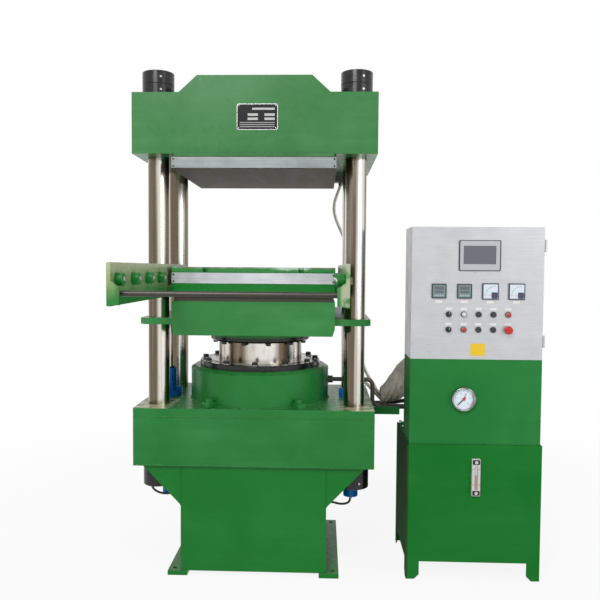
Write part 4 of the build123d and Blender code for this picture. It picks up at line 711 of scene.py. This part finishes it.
def points_of(curve):
    """The points and faces of a curve as it is drawn, after which the curve is removed."""
    shown = bpy.data.objects.new("drawn", curve)
    bpy.context.scene.collection.objects.link(shown)
    mesh = bpy.data.meshes.new_from_object(shown)
    points = np.empty(len(mesh.vertices) * 3)
    mesh.vertices.foreach_get("co", points)
    faces = [list(polygon.vertices) for polygon in mesh.polygons]
    bpy.data.objects.remove(shown)
    bpy.data.curves.remove(curve)
    bpy.data.meshes.remove(mesh)
    return points.reshape(-1, 3), faces


def numeral(text, x, z, size, y):
    """A plain number as a thin mesh, its middle at x and z, facing the front."""
    curve = bpy.data.curves.new("numeral", "FONT")
    curve.body = text
    curve.size = size
    curve.align_x = "CENTER"
    curve.align_y = "CENTER"
    curve.extrude = 0.0001
    curve.resolution_u = 3
    flat, faces = points_of(curve)
    return np.stack([x + flat[:, 0], y - flat[:, 2], z + flat[:, 1]], 1), faces


numerals = []
for text, turn in zip(("0", "5", "10", "15", "20", "25"), np.radians(np.linspace(-135, 135, 6))):
    x, z = dial_x + 0.029 * np.sin(turn), dial_z + 0.029 * np.cos(turn)
    numerals.append(numeral(text, x, z, 0.0088, printed[1]))
piece("gauge_numerals", numerals, dial_ink, "frame", 0)

# Control box and its door: folded stainless sheet, brushed upright. The door's
# devices sit in punched holes, under blank plates.
dress(rolled("brushed_stainless", (0.585, 0.595, 0.62), (0.47, 0.475, 0.49), 0.5, 16.0),
      "control_box", "control_door")
dress(rolled("zinc_sheet", (0.55, 0.56, 0.58), (0.36, 0.37, 0.39)), "mounting_plate")
dark_plastic, shader, place = material("dark_plastic")
pores = grain(place, 500.0, 3.0, 0.6)
wear = effect_in(edge_wear, place, Width=0.0008, Chips=0.45)
tint = mixed(pores, (0.016, 0.018, 0.024), (0.032, 0.034, 0.042))
finished(shader, mixed(wear["Mask"], tint, (0.1, 0.1, 0.11)), span(pores, 0.3, 0.7, 0.32, 0.46),
         pores, 0.0001, 0.2, wear["Rounded"])
dress(dark_plastic, "panel_instruments", "button_bezels", "heating_selector", "mode_selector", "close_button",
      "open_button", "pump_start_button", "pump_stop_button")


def moulded(name, light, dark, gloss=(0.25, 0.38), **values):
    """Plain moulded plastic or print in two near tones."""
    return two_toned(name, dark, light, (220.0, 4.0, 0.6), gloss, **values)


def fitted(name, made, y, thick, rim, *sheets, slot="instrument"):
    """Rounded sheets on the door, their backs at y: each has its x, z, width, height and corner."""
    piece(name, [slab(*sheet, y, thick, rim) for sheet in sheets], made, "door")


pale_frame = moulded("pale_frame", (0.46, 0.47, 0.5), (0.38, 0.39, 0.43))
blue_frame = moulded("blue_frame", (0.045, 0.06, 0.105), (0.03, 0.04, 0.075))
dark_glass = moulded("dark_glass", (0.095, 0.1, 0.125), (0.075, 0.08, 0.1), (0.06, 0.1),
                     Coat_Weight=1.0, Coat_Roughness=0.03)
grey_face = moulded("grey_face", (0.15, 0.25, 0.235), (0.12, 0.205, 0.195), (0.12, 0.2),
                    Coat_Weight=0.5, Coat_Roughness=0.08)
meter_white = moulded("meter_white", (0.66, 0.72, 0.78), (0.56, 0.63, 0.71), (0.2, 0.3),
                      Coat_Weight=0.6, Coat_Roughness=0.05)
label_plate = moulded("label_plate", (0.76, 0.75, 0.72), (0.66, 0.65, 0.62), (0.35, 0.5))
marker_yellow = moulded("marker_yellow", (0.78, 0.52, 0.012), (0.66, 0.42, 0.01), (0.35, 0.5))
lens_clear = moulded("lens_clear", (0.62, 0.66, 0.66), (0.52, 0.56, 0.57), (0.08, 0.16), Coat_Weight=0.8)
red_plastic = moulded("red_plastic", (0.5, 0.018, 0.014), (0.42, 0.012, 0.01), (0.22, 0.34))
pointer_line = moulded("pointer_line", (0.72, 0.72, 0.7), (0.62, 0.62, 0.6))
dress(red_plastic, "emergency_stop")
dress(lens_clear, "indicator_lamps")

# Operator screen: a dark moulded frame with a pale inner rim, and a glass face
# that is set a little back in it.
screen_x, screen_z, screen_front = 1.107, 1.619, -0.346
fitted("screen_rim", pale_frame, screen_front + 0.0003, 0.0014, 0.0005,
       (screen_x, screen_z, 0.193, 0.143, 0.004))
fitted("screen_glass", dark_glass, screen_front - 0.001, 0.0008, 0.0002,
       (screen_x - 0.001, screen_z + 0.003, 0.158, 0.09, 0.002))

# Temperature controllers: square moulded cases, each with a grey-green face,
# two readout windows and a row of four pale keys.
device_front, device_z, controllers, meters = -0.348, 1.444, (0.911, 1.035), (1.161, 1.289)
for side, x in zip(("left", "right"), controllers):
    fitted("controller_face_" + side, grey_face, device_front + 0.0019, 0.0012, 0.0004,
           (x, device_z, 0.0615, 0.0615, 0.002))
    fitted("controller_window_" + side, dark_glass, device_front + 0.0008, 0.0006, 0.0002,
           (x, device_z + 0.015, 0.046, 0.0165, 0.001), (x, device_z - 0.0035, 0.046, 0.0125, 0.001))
    fitted("controller_keys_" + side, pale_frame, device_front + 0.0008, 0.0016, 0.0005,
           *[(x + step, device_z - 0.0215, 0.008, 0.007, 0.0016) for step in (-0.018, -0.006, 0.006, 0.018)])

# Panel meters: a printed arc of plain marks, a red needle and a dark corner
# that covers the movement.
for side, x in zip(("left", "right"), meters):
    fitted("meter_rim_" + side, blue_frame, device_front + 0.0001, 0.001, 0.0005,
           (x, device_z, 0.0795, 0.0795, 0.002))
    fitted("meter_face_" + side, meter_white, device_front - 0.0008, 0.0006, 0.0002,
           (x, device_z, 0.069, 0.069, 0.002))
    pivot = np.array((x + 0.021, device_front - 0.0014, device_z - 0.021))
    marks = [bar(pivot, turn, 0.045, 0.048 if index % 5 else 0.0505, 0.0008)
             for index, turn in enumerate(np.radians(np.linspace(-90, 0, 31)))]
    piece("meter_marks_" + side, marks, dial_ink, "door", 0)
    fitted("meter_corner_" + side, blue_frame, device_front - 0.0013, 0.001, 0.0004,
           (x + 0.019, device_z - 0.019, 0.03, 0.03, 0.006))
    needle = bar(pivot - (0, 0.0012, 0), np.radians(-84), 0.004, 0.0465, 0.001, 0.0003, 0.4)
    piece("meter_needle_" + side, [needle], marker_red, "door", 0)

# Blank plates over the buttons and the devices, and the lenses and caps that
# are another colour than their ring.
door_front, lamp_front, knob_front = -0.3398, -0.3538, -0.3638
button_x, button_z = (0.96, 1.034, 1.106, 1.178, 1.25), (1.33, 1.255)
fitted("label_plates", label_plate, door_front, 0.001, 0.0003,
       *[(x, z + 0.0265, 0.03, 0.012, 0.0015) for x in button_x for z in button_z],
       *[(x, device_z - 0.052, 0.034, 0.012, 0.0015) for x in controllers + meters], slot="bare_aluminium")
fitted("marker_plate", marker_yellow, door_front, 0.0012, 0.0004, (1.105, 1.156, 0.072, 0.06, 0.006),
       slot="bare_aluminium")
dome = turned([(0.0108, 0.0), (0.0104, 0.0012), (0.0085, 0.003), (0.005, 0.0042), (0.0018, 0.0046),
               (0.0001, 0.0047)], 28)
for name, made, spots in (("lens_white", lens_clear, ((1, 0),)),
                          ("lenses_red", red_plastic, ((4, 0), (1, 1)))):
    domes = [placed(dome, (button_x[column], lamp_front, button_z[row]), (0, -1, 0)) for column, row in spots]
    piece(name, domes, made, "door")
for body, z in (("heating_selector", button_z[0]), ("mode_selector", button_z[1])):
    piece(body + "_line", [slab(button_x[0], z + 0.006, 0.0016, 0.01, 0.0003, knob_front, 0.0004, 0.0001)],
          pointer_line, body)


# Hoses and conduits: braided steel conduit and black rubber hose in fixed
# lengths, cut and fitted at both ends.
def banded(place, scale, distortion, way):
    """Sine bands from 0 to 1 across one direction of the coordinates."""
    sockets = {"Vector": place, "Scale": scale, "Distortion": distortion}
    return wired(place.id_data, "ShaderNodeTexWave", sockets,
                 wave_type="BANDS", bands_direction=way).outputs["Fac"]


braided, shader, place = material("braided", Metallic=0.75)
lay = wired(shader.id_data, "ShaderNodeAttribute", attribute_name="lay").outputs["Vector"]
weave = times(banded(lay, 1.0, 0.0, "DIAGONAL"), banded(stretched(lay, -1.0, 1.0, 1.0), 1.0, 0.0, "DIAGONAL"),
              "MAXIMUM")
soot = span(grain(place, 16.0, 4.0, 0.6), 0.4, 0.75, 0.0, 0.35)
finished(shader, mixed(soot, mixed(weave, (0.34, 0.31, 0.25), (0.86, 0.81, 0.71)), (0.2, 0.17, 0.12)),
         span(weave, 0.0, 1.0, 0.48, 0.3), weave, 0.0006, 0.5)
hose_rubber, shader, place = material("hose_rubber")
skin = grain(place, 130.0, 4.0, 0.6)
bloom = span(grain(place, 14.0, 4.0, 0.6), 0.35, 0.75)
finished(shader, mixed(bloom, (0.01, 0.01, 0.011), (0.04, 0.038, 0.035)), span(skin, 0.3, 0.7, 0.42, 0.6),
         skin, 0.0004, 0.3)


def line_of(route, per_leg=16):
    """Points along the route's own NURBS spline, of order 3, through its two end points."""
    curve = bpy.data.curves.new("route", "CURVE")
    curve.dimensions = "3D"
    curve.resolution_u = per_leg
    spline = curve.splines.new("NURBS")
    spline.points.add(len(route) - 1)
    spline.points.foreach_set("co", np.insert(np.array(route, float), 3, 1.0, axis=1).ravel())
    spline.order_u = 3
    spline.use_endpoint_u = True
    return points_of(curve)[0]


def hose(name, route, diameter, made, pitch=0.0, height=0.0, sides=14, step=0.004):
    """A tube round the route's spline: its radius is half the diameter, less half the height times
    1 - cos(2 pi s / pitch) where it is wound in ribs. Its side turns with it and doesn't twist, and the lay
    attribute holds the turns round it and the length along it."""
    line = line_of(route)
    even, along, ahead = even_steps(line, step)
    side = np.cross(ahead[0], (0.31, 0.47, 0.83))
    beside = []
    for way in ahead:
        side = side - np.dot(side, way) * way
        side = side / np.linalg.norm(side)
        beside.append(side)
    radius = np.full(len(along), diameter / 2)
    if pitch:
        radius -= height * (1 - np.cos(2 * np.pi * along / pitch)) / 2
    tube = meshed(name, [swept(even, np.array(beside), np.cross(ahead, beside), radius, sides)], made, 60)
    lay = tube.data.attributes.new("lay", "FLOAT_VECTOR", "POINT")
    values = np.zeros((len(along), sides, 3))
    values[:, :, 0] = np.abs(np.linspace(-1, 1, sides, endpoint=False)) * 6
    values[:, :, 1] = along[:, None] / diameter * 3.2
    lay.data.foreach_set("vector", values.ravel())
    return tube, [tuple(point) for point in line]


def ferrule(at, towards, radius, length):
    """A hose's end fitting: a hexagon nut and a round, ribbed sleeve, along the direction it points."""
    nut = [(0.93, 0.0), (1.0, 0.0012 / length), (1.0, 0.45), (0.93, 0.47)]
    sleeve = [(0.82, 0.46), (0.82, 0.62), (0.76, 0.64), (0.82, 0.66), (0.82, 0.8), (0.76, 0.82),
              (0.82, 0.84), (0.82, 0.97), (0.74, 1.0)]
    return [placed(turned(np.array(profile) * (radius, length), sides), at, towards)
            for profile, sides in ((nut, 6), (sleeve, 28))]


conduit_d, lift_hose_d, trough_hose_d, rib_pitch, rib_height = 0.02, 0.012, 0.024, 0.0065, 0.0011
conduit_a = ((0.44, 0.385, 2.048), (0.424, 0.4, 2.008), (0.403, 0.424, 1.95), (0.403, 0.43, 1.885),
             (0.429, 0.44, 1.815), (0.468, 0.44, 1.735), (0.498, 0.43, 1.59), (0.532, 0.408, 1.338),
             (0.538, 0.404, 1.13), (0.552, 0.396, 0.968), (0.588, 0.345, 0.882), (0.62, 0.245, 0.862),
             (0.645, 0.165, 0.842), (0.671, 0.092, 0.824))
conduit_b = ((0.512, 0.375, 2.083), (0.556, 0.375, 2.083), (0.586, 0.402, 2.012), (0.58, 0.428, 1.89),
             (0.566, 0.432, 1.742), (0.572, 0.424, 1.562), (0.58, 0.43, 1.36), (0.57, 0.42, 1.152),
             (0.58, 0.39, 0.984), (0.612, 0.32, 0.914), (0.638, 0.215, 0.886), (0.65, 0.15, 0.862),
             (0.671, 0.104, 0.846))
for name, route, length in (("conduit_inner", conduit_a, 1.467), ("conduit_outer", conduit_b, 1.479)):
    tube, line = hose(name, route, conduit_d, braided, rib_pitch, rib_height, 14, 0.0016)
    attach(tube, "frame")
    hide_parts("upper_conduits")
link = ((0.418, 0.365, 1.24), (0.474, 0.365, 1.24), (0.526, 0.368, 1.198), (0.538, 0.372, 1.112),
        (0.53, 0.37, 1.012), (0.508, 0.365, 0.918), (0.508, 0.365, 0.85))
tube, line = hose("conduit_moving", link, conduit_d, braided, rib_pitch, rib_height, 14, 0.0016)
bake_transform(tube)
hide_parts("lower_conduit")
hose_routes = (
    ("lift_hose_right", ((0.502, 0, 0.303), (0.502, 0, 0.271), (0.48, 0, 0.253), (0.442, 0, 0.251),
                         (0.404, 0, 0.262), (0.366, 0, 0.262)), lift_hose_d, 0.173),
    ("lift_hose_left", ((-0.552, 0, 0.42), (-0.584, 0, 0.42), (-0.602, -0.022, 0.386),
                        (-0.59, -0.05, 0.334), (-0.532, -0.06, 0.31), (-0.47, -0.058, 0.316),
                        (-0.41, -0.054, 0.336), (-0.366, -0.054, 0.336)), lift_hose_d, 0.359),
    ("trough_hose_front", ((0.601, 0.042, 0.778), (0.658, 0.042, 0.778), (0.742, 0.036, 0.791),
                           (0.825, 0.036, 0.791)), trough_hose_d, 0.225),
    ("trough_hose_back", ((0.601, 0.162, 0.778), (0.66, 0.162, 0.778), (0.745, 0.17, 0.79),
                          (0.835, 0.182, 0.8), (0.905, 0.17, 0.8), (0.93, 0.125, 0.8),
                          (0.93, 0.075, 0.8)), trough_hose_d, 0.404))
for name, route, diameter, length in hose_routes:
    tube, line = hose(name, route, diameter, hose_rubber)
    size = (0.011, 0.016) if diameter == lift_hose_d else (0.016, 0.03)
    ends = np.array(route)
    shapes = ferrule(ends[0], ends[1] - ends[0], *size) + ferrule(ends[-1], ends[-2] - ends[-1], *size)
    fitting = piece(name + "_fittings", shapes, bright_screw, "frame")
    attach(tube, "frame")
    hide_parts("hydraulic_hoses")

# Pressure pipe: bent steel tube from the cylinder's port over the beam to the
# valves, with a nut at each end, painted grey.
dress(two_toned("pipe_grey", (0.13, 0.115, 0.09), (0.26, 0.23, 0.18), (60.0, 4.0), (0.34, 0.5), Metallic=0.4),
      "pressure_pipe")

# Wrapped bundle: hoses and conduits bound in a grey cloth tape where they
# enter the cabinet's trough, its turns lapped and a little slack.
wrap_cloth, shader, place = material("wrap_cloth", Sheen_Weight=0.3, Sheen_Roughness=0.5)
threads = banded(place, 260.0, 1.2, "Z")
stain = grain(place, 12.0, 5.0, 0.6)
cloth = mixed(span(stain, 0.3, 0.7), (0.35, 0.3, 0.23), (0.74, 0.69, 0.6))
folds = grain(stretched(place, 1.6, 0.6, 0.8), 26.0, 3.0, 0.5, 1.2)
finished(shader, mixed(times(threads, 0.35), cloth, (0.2, 0.18, 0.14)), span(stain, 0.3, 0.7, 0.55, 0.8),
         times(folds, times(threads, 0.05), "ADD"), 0.012, 0.8)
section_x, section_z = (0.668, 0.708, 0.76, 0.812), (0.84, 0.868, 0.914, 0.945)
section_half_y, section_half_z = (0.05, 0.056, 0.062, 0.064), (0.0475, 0.066, 0.097, 0.107)
bundle_y, wall, laps, sunk = 0.104, 0.01, 7, 0.0012


def bundle(inward):
    """An ellipse carried along X between the four sections: its two halves follow smooth cubics, less sunk,
    and less the wall where it is inward. Outside, each lap swells by 2 mm and falls back in a saw tooth that
    leans with the turn, and sines of 5 and 13 waves crease it, more in the middle than at its ends."""
    x = np.linspace(section_x[0], section_x[-1], 120)[:, None]
    middle, half_y, half_z = (np.poly1d(np.polyfit(section_x, values, 3))(x)
                              for values in (section_z, section_half_y, section_half_z))
    turn = np.linspace(0, 2 * np.pi, 72, endpoint=False)[None, :]
    share = (x - section_x[0]) / (section_x[-1] - section_x[0])
    lap = np.mod(share * laps + 0.35 * np.cos(turn) / np.pi, 1.0)
    swell = 0.0022 * (np.clip(lap * 5, 0, 1) - 0.8 * lap) - sunk
    crease = 0.0028 * np.sin(5 * turn + 21 * share + np.sin(2 * turn))
    crease = crease + 0.0019 * np.sin(13 * turn - 34 * share + 2 * np.sin(3 * turn + 9 * share))
    crease = crease * np.sqrt(np.sin(np.pi * np.clip(share, 0.0, 1.0)))
    off = -wall if inward else swell + crease
    y = bundle_y + (half_y - sunk + off) * np.cos(turn)
    z = middle + (half_z - sunk + off) * np.sin(turn)
    return np.stack([np.broadcast_to(x, y.shape), y, z], 2)


skins = np.concatenate([bundle(False), bundle(True)[::-1]])
wrap = piece("wrapped_bundle", [grid(skins, around=True, along=True)],
             wrap_cloth, "frame", 50.0)
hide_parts("hose_sleeve")


# The studio: a pale floor and backdrop that the camera sees as white, a large
# soft key lamp high at the front left, a fill at the right, and even sky.
def seen_straight(tree):
    """1 for a ray straight from the camera, off a gloss or through glass, and 0 for a ray of soft light."""
    rays = wired(tree, "ShaderNodeLightPath").outputs
    seen = times(rays["Is Camera Ray"], rays["Is Glossy Ray"], "ADD")
    return times(seen, rays["Is Transmission Ray"], "ADD")


floor_mesh = bpy.data.meshes.new("studio_floor")
floor_mesh.from_pydata([(-30, -12, 0), (30, -12, 0), (30, 40, 0), (-30, 40, 0)], [], [(0, 1, 2, 3)])
floor = bpy.data.objects.new("studio_floor", floor_mesh)
bpy.context.scene.collection.objects.link(floor)
floor_paint, shader, place = material("floor_paint", Roughness=0.9, Base_Color=(0.82, 0.82, 0.82, 1.0))
tree = shader.id_data
white = wired(tree, "ShaderNodeEmission", {"Color": (1.0, 1.0, 1.0), "Strength": 1.0}).outputs[0]
away = wired(tree, "ShaderNodeVectorMath", {0: place, 1: (0.4, 0.0, 0.0)},
             operation="DISTANCE").outputs["Value"]
share = times(seen_straight(tree), span(away, 1.2, 4.0, 0.88, 1.0))
shown = wired(tree, "ShaderNodeMixShader", {0: share, 1: shader.outputs[0], 2: white}).outputs[0]
tree.links.new(shown, tree.nodes["Material Output"].inputs["Surface"])
floor_mesh.materials.append(floor_paint)

world = bpy.data.worlds.new("studio")
world.use_nodes = True
back = world.node_tree.nodes["Background"]
back.inputs["Color"].default_value = (1.0, 1.0, 1.0, 1.0)
world.node_tree.links.new(span(seen_straight(world.node_tree), 0.0, 1.0, 0.55, 1.0), back.inputs["Strength"])
bpy.context.scene.world = world


def stood(name, data, at, *axes):
    """A lamp or camera at a point, its X, Y and Z along the three directions."""
    made = bpy.data.objects.new(name, data)
    rows = np.column_stack([*axes, at]).tolist()
    made.matrix_world = Matrix([*rows, (0, 0, 0, 1)])
    bpy.context.scene.collection.objects.link(made)
    return made


for name, spot, aim, size, power in (("key", (-1.3, -5.4, 5.2), (0.4, 0.0, 1.1), 2.4, 225.0),
                                     ("fill", (4.6, -4.2, 2.6), (0.5, 0.0, 1.2), 2.8, 70.0)):
    light = bpy.data.lights.new(name, "AREA")
    light.shape, light.size, light.energy = "SQUARE", size, power
    behind = np.subtract(spot, aim) / np.linalg.norm(np.subtract(spot, aim))
    side = np.cross((0.0, 0.0, 1.0), behind)
    side /= np.linalg.norm(side)
    stood(name, light, spot, side, np.cross(behind, side), behind)

# Camera: a 40 mm lens where the photograph was taken from, 1.55 m above the
# floor and 3.7 m in front of the press's middle.
eye, lens, sensor = np.array((0.3408, -3.6625, 1.5471)), 40.27, 36.0
pitch, yaw, roll = 0.0461, 0.0342, -0.0072
ahead = np.array((-np.sin(yaw) * np.cos(pitch), np.cos(yaw) * np.cos(pitch), -np.sin(pitch)))
right = np.array((np.cos(yaw), np.sin(yaw), 0.0))
down = np.cross(ahead, right)
across = np.cos(roll) * right + np.sin(roll) * down
below = -np.sin(roll) * right + np.cos(roll) * down
camera = stood("camera", bpy.data.cameras.new("camera"), eye, across, -below, -ahead)
camera.data.lens, camera.data.sensor_width = lens, sensor
camera.data.clip_end = 200.0
bpy.context.scene.camera = camera
bpy.context.scene.view_settings.view_transform = "Standard"
